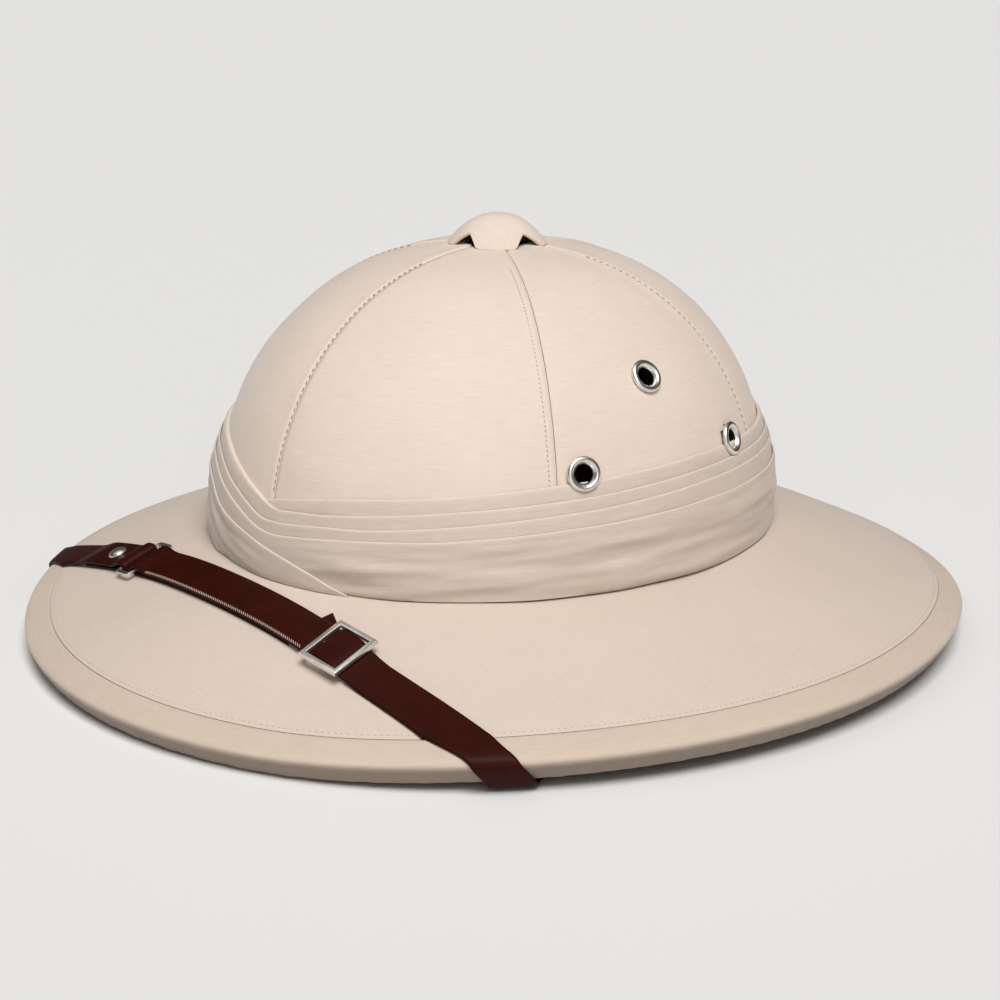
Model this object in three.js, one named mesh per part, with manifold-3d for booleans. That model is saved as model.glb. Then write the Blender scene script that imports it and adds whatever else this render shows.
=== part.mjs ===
// A pith helmet lying on its rim: moulded shell, six cloth crown panels, cloth brim with a bound edge,
// wound puggaree, six eyelets, ventilated top cap, and a leather chin strap worn up over the front.
// Millimetres, +Z up. The front of the hat is -Y and the wearer's left is +X. The rim rests at z = 0.
import * as THREE from "three";
import { mergeVertices } from "three/addons/utils/BufferGeometryUtils.js";
import Module from "manifold-3d";

const wasm = await Module();
wasm.setup();

// Brim, outside sizes
const BRIM_WIDTH = 346;
const BRIM_LENGTH = 368;
const RIM_LIFT = 4.8; // the sides of the rim stand this much above its front and back
const FLAT_ARC = 20; // degrees to each side of the front and back that lie flat
const BRIM_ROOT_HEIGHT = 41.6;
const BRIM_ARCH = 1.2;

// Bound edge of the brim
const BINDING_TOP = 9.6; // how far its sewn line lies inside the widest line
const BINDING_RISE = 13.8; // height of its sewn line
const BINDING_INSIDE = 5.5; // how far it reaches up inside the rim
const BINDING_FOOT = 5.2; // width of the edge that the hat rests on

// Crown
const CROWN_WIDTH = 196.8;
const CROWN_LENGTH = 218.4;
const CROWN_HEIGHT = 105.1;
const CROWN_FORWARD = 2.3;
const CROWN_SQUARENESS = 2.31; // 2 is an ellipse, more is fuller
const SIDE_RECESS = 1.9; // how far the crown draws in under the puggaree
const END_RECESS = 0.4;
const SEAM_HALF_ANGLE = 28; // the seams of a side panel, from straight left or right
const SEAM_GAP = 0.35;
const VENT_RADIUS = 11;

// Walls and clearances
const CLOTH = 1.2;
const SHELL = 3;
const GAP = 0.3;
const SKIN_GAP = 0.4;

// Puggaree: one cloth wound round the crown, its folded edge falling a pleat with each turn
const BAND_GAP = 0.5;
const BAND_TOP_THICKNESS = 1.1;
const PLEAT_STEP = 0.75;
const TUCK = 0.2; // share of a step by which a pleat swells before the next fold
const WIND_START = -5; // degrees from the front
const HEM_TURN = 28; // the last fold reaches the hem this far round from the start
const FOLD_MIN = 0.2;
const BAND_HEIGHT = 46;

// Height of the folded edges round the crown, as shares of the band's height. The last turn falls
// across the front, where it crosses over the first.
const FOLD_ROWS = [
  { turn: 0, top: 0.603, second: 0.603, third: 0.478, fourth: 0.388, last: 0.287 },
  { turn: 9, top: 0.607, second: 0.527, third: 0.443, fourth: 0.345, last: 0.207 },
  { turn: 18, top: 0.672, second: 0.56, third: 0.475, fourth: 0.39, last: 0.105 },
  { turn: 28, top: 0.715, second: 0.597, third: 0.497, fourth: 0.42, last: 0 },
  { turn: 45, top: 0.768, second: 0.664, third: 0.56, fourth: 0.457, last: 0 },
  { turn: 62, top: 0.821, second: 0.71, third: 0.616, fourth: 0.506, last: 0 },
  { turn: 85, top: 0.867, second: 0.76, third: 0.67, fourth: 0.545, last: 0 },
  { turn: 110, top: 0.877, second: 0.784, third: 0.697, fourth: 0.555, last: 0 },
  { turn: 180, top: 0.87, second: 0.76, third: 0.66, fourth: 0.53, last: 0 },
  { turn: 260, top: 0.9, second: 0.78, third: 0.67, fourth: 0.54, last: 0 },
  { turn: 325, top: 0.91, second: 0.8, third: 0.69, fourth: 0.56, last: 0 },
  { turn: 342, top: 0.81, second: 0.695, third: 0.6, fourth: 0.455, last: 0 },
  { turn: 349, top: 0.738, second: 0.612, third: 0.515, fourth: 0.357, last: 0 },
  { turn: 354, top: 0.68, second: 0.556, third: 0.463, fourth: 0.325, last: 0 },
  { turn: 360, top: 0.603, second: 0.478, third: 0.388, fourth: 0.287, last: 0 },
];
const FOLD_NAMES = ["top", "second", "third", "fourth", "last"];

// Eyelets, three on each side
const EYELET_RADIUS = 6.2;
const EYELET_BORE = 3;
const EYELET_WALL = 0.6;
const EYELET_ROLL = 1.6;
const EYELET_AIM = -2.5; // degrees: the upper eyelet, from straight left
const EYELET_SPREAD = 20.3;
const EYELET_LOW = 41.2; // heights above the brim's root
const EYELET_HIGH = 68.5;

// Ventilated top cap
const CAP_RADIUS = 18.5;
const CAP_DEPTH_RADIUS = 15.5;
const CAP_HEIGHT = 11;
const CAP_WALL = 1.6;
const CAP_FALL = 2.2; // how steeply the dome falls to its rim: 2 is a parabola
const CAP_TURN = -45; // degrees: one of its four tabs points this way
const TAB_ROOT_HALF = 9.6;
const TAB_TIP_HALF = 6.9;
const POST_RADIUS = 2.5;
const POST_BAR_WIDTH = 6;
const POST_BAR_THICKNESS = 2;

// Chin strap
const STRAP_WIDTH = 15;
const STRAP_THICKNESS = 1.3;
const STRAP_FORWARD = 127.5; // its middle line in front of the crown's axis
const STRAP_BEND = -6; // where, from left to right, the line starts to swing back
const STRAP_SWING = 6.8; // degrees
const UNDERLAY_WIDTH = 17.5; // the doubled under-run is a little wider
const BUCKLE_PLACE = 56; // along X
const RING_PLACE = -62;
const TAB_RIVET_PLACE = -84;
const TAB_END_PLACE = -97; // end of the tab's fold, under the tab
const STRAP_PASS = 4; // it runs level this far past the edge's foot before it rises
const ANCHOR_ANGLE = 12; // degrees forward of straight left and right
const ANCHOR_SHARE = 0.2; // of the way from the brim's root to its sewn line

// Strap metal
const BUCKLE_LENGTH = 19;
const BUCKLE_BAR = 2.3;
const BUCKLE_THICKNESS = 2;
const CROSS_BAR_THICKNESS = 1.2;
const RING_LENGTH = 11;
const RING_BAR = 2;
const RING_THICKNESS = 1.6;
const METAL_ROOM = 0.5; // from the strap's edge to the frame round it
const RIVET_HEAD = 3.6;
const RIVET_DOME = 1.6;
const RIVET_SHANK = 1.2;
const TACK_DEPTH = 1.8;

// Fineness of the facets
const COLUMNS = 40;
const CROWN_STEPS = 7;
const BRIM_STEPS = 3;
const PANEL_COLUMNS = 6;
const BAND_COLUMNS = 32;
const CROSSING_COLUMNS = 6;
const EYELET_SIDES = 10;
const STUD_SIDES = 8;
const CAP_SIDES = 16;
const STRAP_STEPS = 7;

const LAYER_ONE = GAP + STRAP_THICKNESS / 2;
const LAYER_PITCH = STRAP_THICKNESS + GAP;
const LAYER_TWO = LAYER_ONE + LAYER_PITCH;

const radians = THREE.MathUtils.degToRad;
const lerp = THREE.MathUtils.lerp;
const vec = (x, y, z) => new THREE.Vector3(x, y, z);
const evenly = (count, low, high) =>
  Array.from({ length: count + 1 }, (_, i) => lerp(low, high, i / count));

// Materials
const cloth = (color) => new THREE.MeshStandardMaterial({ color, roughness: 0.9 });
const MATERIALS = {
  shell: new THREE.MeshStandardMaterial({ color: 0xb9a387, roughness: 0.95 }),
  cloth: cloth(0xd9c8b5),
  binding: cloth(0xcdbba8),
  leather: new THREE.MeshStandardMaterial({ color: 0x3a130d, roughness: 0.35 }),
  nickel: new THREE.MeshStandardMaterial({ color: 0xc9c7c2, roughness: 0.25, metalness: 1 }),
};

const hat = new THREE.Group();

function place(name, geometry, material) {
  geometry.computeVertexNormals();
  const mesh = new THREE.Mesh(geometry, material);
  mesh.name = name;
  hat.add(mesh);
  return mesh;
}

// Solids

function toSolid(geometry) {
  const bare = geometry.index ? geometry.toNonIndexed() : geometry.clone();
  bare.deleteAttribute("normal");
  bare.deleteAttribute("uv");
  const merged = mergeVertices(bare, 1e-4);
  return new wasm.Manifold(
    new wasm.Mesh({
      numProp: 3,
      vertProperties: merged.attributes.position.array,
      triVerts: new Uint32Array(merged.index.array),
    }),
  );
}

function toGeometry(solid) {
  const mesh = solid.getMesh();
  const positions = new Float32Array(mesh.numVert * 3);
  for (let i = 0; i < mesh.numVert; i++) {
    const start = i * mesh.numProp;
    positions.set(mesh.vertProperties.subarray(start, start + 3), i * 3);
  }
  return new THREE.BufferGeometry()
    .setAttribute("position", new THREE.BufferAttribute(positions, 3))
    .setIndex(new THREE.BufferAttribute(mesh.triVerts, 1));
}

function cut(geometry, tools) {
  return toGeometry(
    tools.reduce((solid, tool) => solid.subtract(toSolid(tool)), toSolid(geometry)),
  );
}

// Rotation and place that turn local +Z to an outward normal and local +X as near as can be to a hint.
function poseMatrix(origin, normal, hint) {
  const up = normal.clone().normalize();
  const side = hint.clone().addScaledVector(up, -hint.dot(up)).normalize();
  const third = up.clone().cross(side);
  return new THREE.Matrix4().makeBasis(side, third, up).setPosition(origin);
}

function signedVolume(corners, faces) {
  return faces.reduce((sum, [a, b, c]) => {
    const turned = corners[b].clone().cross(corners[c]);
    return sum + corners[a].dot(turned) / 6;
  }, 0);
}

// A wall between two grids of points, face[row][column]. With wrap, the columns close on themselves.
function slab(outer, inner, wrap = false) {
  const rows = outer.length;
  const columns = outer[0].length;
  const corners = [...outer.flat(), ...inner.flat()];
  const at = (side, row, column) => side * rows * columns + row * columns + (column % columns);
  const faces = [];
  const quad = (a, b, c, d) => faces.push([a, b, c], [a, c, d]);
  const spans = wrap ? columns : columns - 1;
  for (let j = 0; j < spans; j++) {
    for (let i = 0; i < rows - 1; i++) {
      quad(at(0, i, j), at(0, i + 1, j), at(0, i + 1, j + 1), at(0, i, j + 1));
      quad(at(1, i, j + 1), at(1, i + 1, j + 1), at(1, i + 1, j), at(1, i, j));
    }
    quad(at(0, 0, j + 1), at(1, 0, j + 1), at(1, 0, j), at(0, 0, j));
    quad(at(0, rows - 1, j), at(1, rows - 1, j), at(1, rows - 1, j + 1), at(0, rows - 1, j + 1));
  }
  if (!wrap) {
    for (let i = 0; i < rows - 1; i++) {
      quad(at(0, i, 0), at(1, i, 0), at(1, i + 1, 0), at(0, i + 1, 0));
      const end = columns - 1;
      quad(at(0, i + 1, end), at(1, i + 1, end), at(1, i, end), at(0, i, end));
    }
  }
  const outward = signedVolume(corners, faces) > 0;
  const order = outward ? faces : faces.map(([a, b, c]) => [a, c, b]);
  return new THREE.BufferGeometry().setFromPoints(corners).setIndex(order.flat());
}

// Rings of the hat: ellipses with a height, and a share of the rim's lift.

const ring = (a, b, centre, z, lift = 0) => ({ a, b, centre, z, lift });

function mixRings(from, to, share) {
  return ring(
    lerp(from.a, to.a, share),
    lerp(from.b, to.b, share),
    lerp(from.centre, to.centre, share),
    lerp(from.z, to.z, share),
    lerp(from.lift, to.lift, share),
  );
}

function rimLift(phi) {
  const flat = Math.sin(radians(FLAT_ARC));
  const share = Math.max(0, (Math.abs(Math.cos(phi)) - flat) / (1 - flat));
  return RIM_LIFT * share * share * (3 - 2 * share);
}

const rimRing = (inset, z) => ring(BRIM_WIDTH / 2 - inset, BRIM_LENGTH / 2 - inset, 0, z, 1);

// The crown's outer skin at a height above the brim's root.
function crownRing(height) {
  const rise = Math.min(Math.max(height / CROWN_HEIGHT, 0), 1);
  const angle = Math.asin(rise ** (CROWN_SQUARENESS / 2));
  const reach = Math.cos(angle) ** (2 / CROWN_SQUARENESS);
  const tuck = Math.max(0, 1 - height / BAND_HEIGHT) ** 2;
  return ring(
    (CROWN_WIDTH / 2) * reach - SIDE_RECESS * tuck,
    (CROWN_LENGTH / 2) * reach - END_RECESS * tuck,
    -CROWN_FORWARD,
    BRIM_ROOT_HEIGHT + height,
  );
}

// The height at which the crown is open for its vent, and even steps down from there.
function crownHeights() {
  const reach = VENT_RADIUS / (CROWN_WIDTH / 2);
  const open = Math.acos(reach ** (CROWN_SQUARENESS / 2));
  return evenly(CROWN_STEPS, open, 0).map(
    (angle) => CROWN_HEIGHT * Math.sin(angle) ** (2 / CROWN_SQUARENESS),
  );
}

function brimRing(share) {
  const sewn = rimRing(BINDING_TOP, BINDING_RISE);
  const made = mixRings(crownRing(0), sewn, share);
  made.z += BRIM_ARCH * 4 * share * (1 - share);
  return made;
}

// Outer skin of the bound edge, from its sewn line to its foot, as shares of its width and height.
const EDGE_ROWS = [
  { inset: 1, rise: 1 },
  { inset: 0.3, rise: 0.78 },
  { inset: 0.07, rise: 0.67 },
  { inset: 0, rise: 0.54 },
  { inset: 0.5, rise: 0 },
];
const edgeRings = EDGE_ROWS.map((row) => rimRing(row.inset * BINDING_TOP, row.rise * BINDING_RISE));
const footInset = EDGE_ROWS.at(-1).inset * BINDING_TOP;

function ringPoint(one, phi, outset = 0, rise = 0) {
  return vec(
    (one.a + outset) * Math.cos(phi),
    one.centre + (one.b + outset) * Math.sin(phi),
    one.z + one.lift * rimLift(phi) + rise,
  );
}

// Points on a run of rings at one angle, moved square to the section by a depth into the hat.
function skin(rings, phi, depth) {
  const outwards = vec(Math.cos(phi), Math.sin(phi), 0);
  const flat = rings.map((one) => {
    const point = ringPoint(one, phi);
    return new THREE.Vector2(point.dot(outwards), point.z);
  });
  const normals = flat.slice(1).map((point, i) => {
    const along = point.clone().sub(flat[i]).normalize();
    return new THREE.Vector2(-along.y, along.x);
  });
  return rings.map((one, i) => {
    const before = normals[Math.max(i - 1, 0)];
    const after = normals[Math.min(i, normals.length - 1)];
    const mitre = before.clone().add(after).divideScalar(1 + before.dot(after));
    return ringPoint(one, phi, -depth * mitre.x, -depth * mitre.y);
  });
}

const ANGLES = evenly(COLUMNS, -Math.PI / 2, 1.5 * Math.PI).slice(0, -1);

// Turns lists of points per angle into rows of points.
const rowsOf = (lists) => lists[0].map((_, row) => lists.map((list) => list[row]));
const skinGrid = (rings, angles, depth) => rowsOf(angles.map((phi) => skin(rings, phi, depth)));

// Shell of the crown and brim in one

const shellDepth = CLOTH + SKIN_GAP;
const crownRings = crownHeights().map(crownRing);
const brimRings = evenly(BRIM_STEPS, 0, 1).map(brimRing);
const lipBottom = CLOTH + GAP;

function shellGeometry() {
  const wallEnd = mixRings(edgeRings[4], edgeRings[3], 0.12);
  const outside = [...crownRings, ...brimRings.slice(1), ...edgeRings.slice(1, 4), wallEnd];
  const inset = footInset + BINDING_FOOT - CLOTH;
  const underside = BINDING_RISE - (shellDepth + SHELL) * 1.1;
  const lip = evenly(3, underside, lipBottom).map((z) => rimRing(inset, z));
  const upper = [...crownRings, ...brimRings.slice(1, -1)];
  const innerAt = (phi) => {
    const deep = skin([...crownRings, ...brimRings.slice(1)], phi, shellDepth + SHELL);
    const corner = rimRing(inset + SHELL, underside + 0.4 * SHELL);
    return [...deep.slice(0, upper.length), ...[corner, ...lip].map((one) => ringPoint(one, phi))];
  };
  const outerAt = (phi) => {
    const made = skin(outside, phi, shellDepth);
    made.at(-1).z = Math.max(made.at(-1).z, lipBottom + rimLift(phi));
    return made;
  };
  return slab(rowsOf(ANGLES.map(outerAt)), rowsOf(ANGLES.map(innerAt)), true);
}

// Where an eyelet stands on the crown: its place on the cloth, looking straight out.
function crownFrame(angle, height) {
  const phi = radians(angle);
  const step = 0.5;
  const rings = [crownRing(height + step), crownRing(height), crownRing(height - step)];
  const here = ringPoint(rings[1], phi);
  const out = here.clone().sub(skin(rings, phi, 1)[1]);
  return poseMatrix(here, out, vec(0, 0, 1));
}

const EYELETS = [
  { name: "low_front", offset: -EYELET_SPREAD, height: EYELET_LOW },
  { name: "high", offset: 0, height: EYELET_HIGH },
  { name: "low_back", offset: EYELET_SPREAD, height: EYELET_LOW },
].flatMap(({ name, offset, height }) => {
  const left = EYELET_AIM + offset;
  return [
    { name: `eyelet_left_${name}`, low: height === EYELET_LOW, pose: crownFrame(left, height) },
    { name: `eyelet_right_${name}`, low: height === EYELET_LOW, pose: crownFrame(180 - left, height) },
  ];
});

const barrelRadius = EYELET_BORE + EYELET_WALL;
const rod = (radius, length, sides = EYELET_SIDES) =>
  new THREE.CylinderGeometry(radius, radius, length, sides).rotateX(Math.PI / 2);
const eyeletDrills = EYELETS.map(({ pose }) =>
  rod(barrelRadius + GAP, 6 * (shellDepth + SHELL)).applyMatrix4(pose),
);

// Chin strap's plan line and the brim under it

function strapLine(x) {
  const past = STRAP_BEND - x;
  const softness = 12;
  const run = softness * Math.log(1 + Math.exp(past / softness));
  return -STRAP_FORWARD + run * Math.tan(radians(STRAP_SWING));
}

// The angle and height of the brim's outer skin under a point in plan.
function brimUnder(x, y) {
  const ratio = (one) => Math.hypot(x / one.a, (y - one.centre) / one.b);
  let low = -0.05;
  let high = 1.2;
  for (let i = 0; i < 40; i++) {
    const middle = (low + high) / 2;
    if (ratio(brimRing(middle)) > 1) low = middle;
    else high = middle;
  }
  const one = brimRing(low);
  const phi = Math.atan2((y - one.centre) / one.b, x / one.a);
  return { phi, share: low, point: ringPoint(one, phi) };
}

function brimNormal(x, y) {
  const step = 0.5;
  const slope = (dx, dy) => brimUnder(x + dx, y + dy).point.z - brimUnder(x - dx, y - dy).point.z;
  return vec(-slope(step, 0), -slope(0, step), 2 * step).normalize();
}

// Along the strap in plan: its place, direction, and the level line across it.
function strapFrame(x) {
  const step = 0.5;
  const y = strapLine(x);
  const along = vec(2 * step, strapLine(x + step) - strapLine(x - step), 0).normalize();
  const normal = brimNormal(x, y);
  const here = brimUnder(x, y).point;
  const forward = along.addScaledVector(normal, -along.dot(normal)).normalize();
  const across = normal.clone().cross(forward);
  return { here, forward, across, normal };
}

// A cross line of the strap over the brim: three points, at a height over the cloth.
function brimLine({ x, height, width = STRAP_WIDTH, shear = 0, shift = 0 }) {
  const { here, forward, across } = strapFrame(x);
  const half = width / 2 / Math.cos(shear);
  const direction = across.clone().applyAxisAngle(forward.clone().cross(across), shear);
  return [-1, 0, 1].map((side) => {
    const spot = here.clone().addScaledVector(direction, side * half + shift);
    const under = brimUnder(spot.x, spot.y).point;
    return under.addScaledVector(brimNormal(spot.x, spot.y), height);
  });
}

// Where the strap's middle crosses the sewn line, and the strap's slant to the rim there.
function rimCrossing(side) {
  let inside = 0;
  let outside = side * (BRIM_WIDTH / 2 - BINDING_TOP - 1);
  for (let i = 0; i < 40; i++) {
    const middle = (inside + outside) / 2;
    if (brimUnder(middle, strapLine(middle)).share < 1) inside = middle;
    else outside = middle;
  }
  const { phi } = brimUnder(inside, strapLine(inside));
  const sewn = brimRing(1);
  const rim = vec(-sewn.a * Math.sin(phi), sewn.b * Math.cos(phi), 0).normalize();
  const back = rim.y > 0 ? rim : rim.negate();
  const run = vec(side, strapLine(inside + side) - strapLine(inside), 0).normalize();
  return { x: inside, phi, slant: Math.PI / 2 - Math.acos(run.dot(back)), turn: side };
}

// The strap over the edge: cross lines that follow the rim, and slip round it as they go down.
function edgeLines(crossing) {
  const under = [0, STRAP_PASS].map((more) => rimRing(footInset + BINDING_FOOT + more, 0));
  const rings = [...edgeRings, ...under];
  const sewn = edgeRings[0];
  const reach = Math.hypot(sewn.a * Math.sin(crossing.phi), sewn.b * Math.cos(crossing.phi));
  const half = STRAP_WIDTH / 2 / Math.cos(crossing.slant);
  const flat = rings.map((one) => new THREE.Vector2(one.a, one.z));
  let run = 0;
  return rings.map((_, row) => {
    if (row > 0) run += flat[row].distanceTo(flat[row - 1]);
    const slip = run * Math.tan(crossing.slant);
    return [-1, 0, 1].map((side) => {
      const phi = crossing.phi + (crossing.turn * slip + side * half) / reach;
      return skin(rings, phi, -LAYER_ONE)[row];
    });
  });
}

// The hidden end: straight from under the rim to a tack in the shell, beside the head opening.
function anchorFrame(side) {
  const phi = side > 0 ? radians(-ANCHOR_ANGLE) : Math.PI + radians(ANCHOR_ANGLE);
  const shares = [ANCHOR_SHARE - 0.02, ANCHOR_SHARE, ANCHOR_SHARE + 0.02];
  const rings = shares.map(brimRing);
  const here = skin(rings, phi, shellDepth + SHELL)[1];
  const top = skin(rings, phi, shellDepth)[1];
  return { here, down: here.clone().sub(top).normalize() };
}

function hiddenLines(side, last) {
  const { here, down } = anchorFrame(side);
  const start = last[1];
  const spot = here.clone().addScaledVector(down, LAYER_ONE + GAP);
  const run = spot.clone().sub(start);
  run.addScaledVector(down, -run.dot(down)).normalize();
  const across = run.clone().cross(down).multiplyScalar(STRAP_WIDTH / 2);
  if (across.dot(last[2].clone().sub(last[0])) < 0) across.negate();
  const lineAt = (centre) => [-1, 0, 1].map((k) => centre.clone().addScaledVector(across, k));
  const landing = lineAt(spot.clone().addScaledVector(run, -STRAP_WIDTH / 2));
  const end = lineAt(spot.clone().addScaledVector(run, STRAP_WIDTH / 2));
  const between = [0.3, 0.65].map((share) =>
    last.map((point, k) => point.clone().lerp(landing[k], share)),
  );
  return [...between, landing, end];
}

// A ribbon of even thickness through cross lines of three points.
function ribbon(lines, thickness) {
  const faces = [-1, 1].map((side) =>
    lines.map((line, i) => {
      const before = lines[Math.max(i - 1, 0)];
      const after = lines[Math.min(i + 1, lines.length - 1)];
      const across = line[2].clone().sub(line[0]).normalize();
      const unit = (from, to) => {
        const run = to[1].clone().sub(from[1]);
        return run.addScaledVector(across, -run.dot(across)).normalize();
      };
      const first = i > 0 ? unit(before, line) : unit(line, after);
      const second = i < lines.length - 1 ? unit(line, after) : first;
      const normals = [first, second].map((run) => run.clone().cross(across));
      const mitre = normals[0].clone().add(normals[1]);
      mitre.divideScalar(1 + normals[0].dot(normals[1]));
      return line.map((point) => point.clone().addScaledVector(mitre, (side * thickness) / 2));
    }),
  );
  return slab(faces[0], faces[1]);
}

// Cross lines over the brim whose slant grows to the rim's own as they reach it.
function outwardLines(from, crossing, steps) {
  const line = (x, share) =>
    brimLine({ x, height: LAYER_ONE, shear: crossing.turn * crossing.slant * share });
  return evenly(steps, from, crossing.x)
    .slice(0, -1)
    .map((x, i) => line(x, (i / steps) ** 2));
}

// A half turn of the strap round a bar lying across it. side 1 turns at the bar's right, -1 at its left.
function barTurn(place, barHeight, radius, side, width = STRAP_WIDTH) {
  return [-60, -20, 20, 60].map((angle) => {
    const turn = radians(angle);
    return brimLine({
      x: place + side * radius * Math.cos(turn),
      height: barHeight + radius * Math.sin(turn),
      width,
    });
  });
}

const ringTurn = Math.hypot(RING_BAR, RING_THICKNESS) / 2 + GAP + STRAP_THICKNESS / 2;
const ringHeight = LAYER_ONE + ringTurn;
const ringBarOffset = (RING_LENGTH - RING_BAR) / 2;
const buckleHeight = LAYER_TWO + STRAP_THICKNESS / 2 + GAP + BUCKLE_THICKNESS / 2;
const crossBarHeight = buckleHeight - (BUCKLE_THICKNESS - CROSS_BAR_THICKNESS) / 2;
const overBar = crossBarHeight + CROSS_BAR_THICKNESS / 2 + GAP + STRAP_THICKNESS / 2;
const loopPlace = RING_PLACE + ringBarOffset;
const loopTop = ringHeight + ringTurn;

// The long strap: under-run from the buckle to the ring, round its bar, back over and through the
// buckle, over the rim at the wearer's left and in under the brim to its tack.
function longStrapLines() {
  const halfBuckle = BUCKLE_LENGTH / 2;
  const underStart = BUCKLE_PLACE - halfBuckle - 1;
  const underRun = evenly(STRAP_STEPS, 0, 1).map((share) =>
    brimLine({
      x: lerp(underStart, loopPlace + 5, share),
      width: lerp(UNDERLAY_WIDTH, STRAP_WIDTH, share ** 3),
      height: LAYER_ONE,
    }),
  );
  const loop = barTurn(loopPlace, ringHeight, ringTurn, -1);
  const overRun = [
    { x: loopPlace + 2.5, height: loopTop },
    ...evenly(STRAP_STEPS, loopPlace + 14, BUCKLE_PLACE - halfBuckle - 1).map((x) => ({
      x,
      height: LAYER_TWO,
    })),
    { x: BUCKLE_PLACE - halfBuckle + BUCKLE_BAR, height: LAYER_TWO },
    { x: BUCKLE_PLACE - 1.8, height: overBar },
    { x: BUCKLE_PLACE + 1.8, height: overBar },
    { x: BUCKLE_PLACE + halfBuckle - BUCKLE_BAR, height: LAYER_TWO },
    { x: BUCKLE_PLACE + halfBuckle + 1, height: LAYER_TWO - 0.4 },
  ].map(brimLine);
  const crossing = rimCrossing(1);
  const outward = outwardLines(BUCKLE_PLACE + halfBuckle + 8, crossing, 6);
  const edge = edgeLines(crossing);
  const lines = [...underRun, ...loop, ...overRun, ...outward, ...edge];
  return [...lines, ...hiddenLines(1, edge.at(-1))];
}

// The short tab: folded round the ring's other bar, over the rim at the wearer's right.
function tabLines() {
  const bar = RING_PLACE - ringBarOffset;
  const underRun = [TAB_END_PLACE, lerp(TAB_END_PLACE, bar, 0.5), bar - 4].map((x) =>
    brimLine({ x, height: LAYER_ONE }),
  );
  const turn = barTurn(bar, ringHeight, ringTurn, 1);
  const overRun = [
    { x: bar - 2.5, height: loopTop },
    { x: bar - 10, height: LAYER_TWO + 0.3 },
    { x: TAB_RIVET_PLACE, height: LAYER_TWO },
    { x: TAB_END_PLACE + 2, height: LAYER_TWO },
  ].map(brimLine);
  const crossing = rimCrossing(-1);
  const outward = outwardLines(TAB_END_PLACE - 5, crossing, 4);
  const edge = edgeLines(crossing).map((line) => line.toReversed());
  return [...underRun, ...turn, ...overRun, ...outward, ...edge, ...hiddenLines(-1, edge.at(-1))];
}

// A frame of flat bars lying across the strap, with an optional thin bar across its middle.
function barFrame(length, bar, thickness, middle) {
  const half = length / 2;
  const room = STRAP_WIDTH / 2 + METAL_ROOM;
  const rectangle = (x, y) => [
    new THREE.Vector2(-x, -y),
    new THREE.Vector2(x, -y),
    new THREE.Vector2(x, y),
    new THREE.Vector2(-x, y),
  ];
  const bevel = 0.35;
  const outline = new THREE.Shape(rectangle(half - bevel, room + bar - bevel));
  outline.holes.push(new THREE.Path(rectangle(half - bar + bevel, room + bevel)));
  const frame = new THREE.ExtrudeGeometry(outline, {
    depth: thickness - 2 * bevel,
    bevelThickness: bevel,
    bevelSize: bevel,
    bevelSegments: 1,
  }).translate(0, 0, bevel - thickness / 2);
  if (!middle) return toGeometry(toSolid(frame));
  const crossBar = new THREE.BoxGeometry(bar, 2 * room + bar, middle);
  crossBar.translate(0, 0, (middle - thickness) / 2);
  return toGeometry(toSolid(frame).add(toSolid(crossBar)));
}

function onStrap(x, height) {
  const { here, forward, normal } = strapFrame(x);
  return poseMatrix(here.addScaledVector(normal, height), normal, forward);
}

// A domed head with a shank below it, along local Z. z = 0 is under the head.
function stud(shankLength) {
  const dome = evenly(3, 0, Math.PI / 2).map(
    (angle) => new THREE.Vector2(RIVET_HEAD * Math.cos(angle), RIVET_DOME * Math.sin(angle)),
  );
  const profile = [
    new THREE.Vector2(0, -shankLength),
    new THREE.Vector2(RIVET_SHANK, -shankLength),
    new THREE.Vector2(RIVET_SHANK, 0),
    ...dome,
  ];
  profile.at(-1).x = 0;
  return new THREE.LatheGeometry(profile, STUD_SIDES).rotateX(Math.PI / 2);
}

// Puggaree

function foldHeights(turn) {
  const next = FOLD_ROWS.findIndex((row) => row.turn >= turn);
  const after = FOLD_ROWS[Math.max(next, 1)];
  const before = FOLD_ROWS[Math.max(next, 1) - 1];
  const share = (turn - before.turn) / (after.turn - before.turn);
  return FOLD_NAMES.map((name) => lerp(before[name], after[name], share) * BAND_HEIGHT);
}

// One section of the wound cloth: its outer path from the top fold down to the hem, and its inner one.
function bandSection(turn) {
  const phi = radians(-90 + WIND_START + turn);
  const heights = foldHeights(turn);
  const wound = turn / 360;
  const hemReach = BAND_TOP_THICKNESS + PLEAT_STEP * (turn < HEM_TURN ? 4 : 3 + wound);
  const underHem = (reach) => {
    const share = reach / (brimRing(1).a - brimRing(0).a);
    return ringPoint(brimRing(share), phi).z - BRIM_ROOT_HEIGHT + GAP;
  };
  const hem = underHem(BAND_GAP + hemReach);
  const hemInside = underHem(BAND_GAP) + GAP;
  const rows = [{ height: heights[0], reach: BAND_TOP_THICKNESS + PLEAT_STEP * wound }];
  for (let fold = 1; fold < heights.length; fold++) {
    const reach = BAND_TOP_THICKNESS + PLEAT_STEP * (fold + wound);
    const height = Math.min(heights[fold], rows.at(-1).height - 3 * FOLD_MIN);
    const merged = heights[fold] <= 0;
    const swell = PLEAT_STEP * (1 - TUCK);
    rows.push({ height: Math.max(height, hem) + 2 * FOLD_MIN, reach: reach - swell });
    rows.push({ height: Math.max(height, hem) + FOLD_MIN, reach: merged ? reach - swell : reach });
  }
  rows.push({ height: hem, reach: hemReach });
  const at = (height, reach) =>
    ringPoint(crownRing(Math.max(height, 0)), phi, BAND_GAP + reach, Math.min(height, 0));
  const raised = (height) => lerp(hemInside, heights[0], (height - hem) / (heights[0] - hem));
  return {
    outer: rows.map((row) => at(row.height, row.reach)),
    inner: rows.map((row) => at(raised(row.height), 0)),
  };
}

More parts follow.
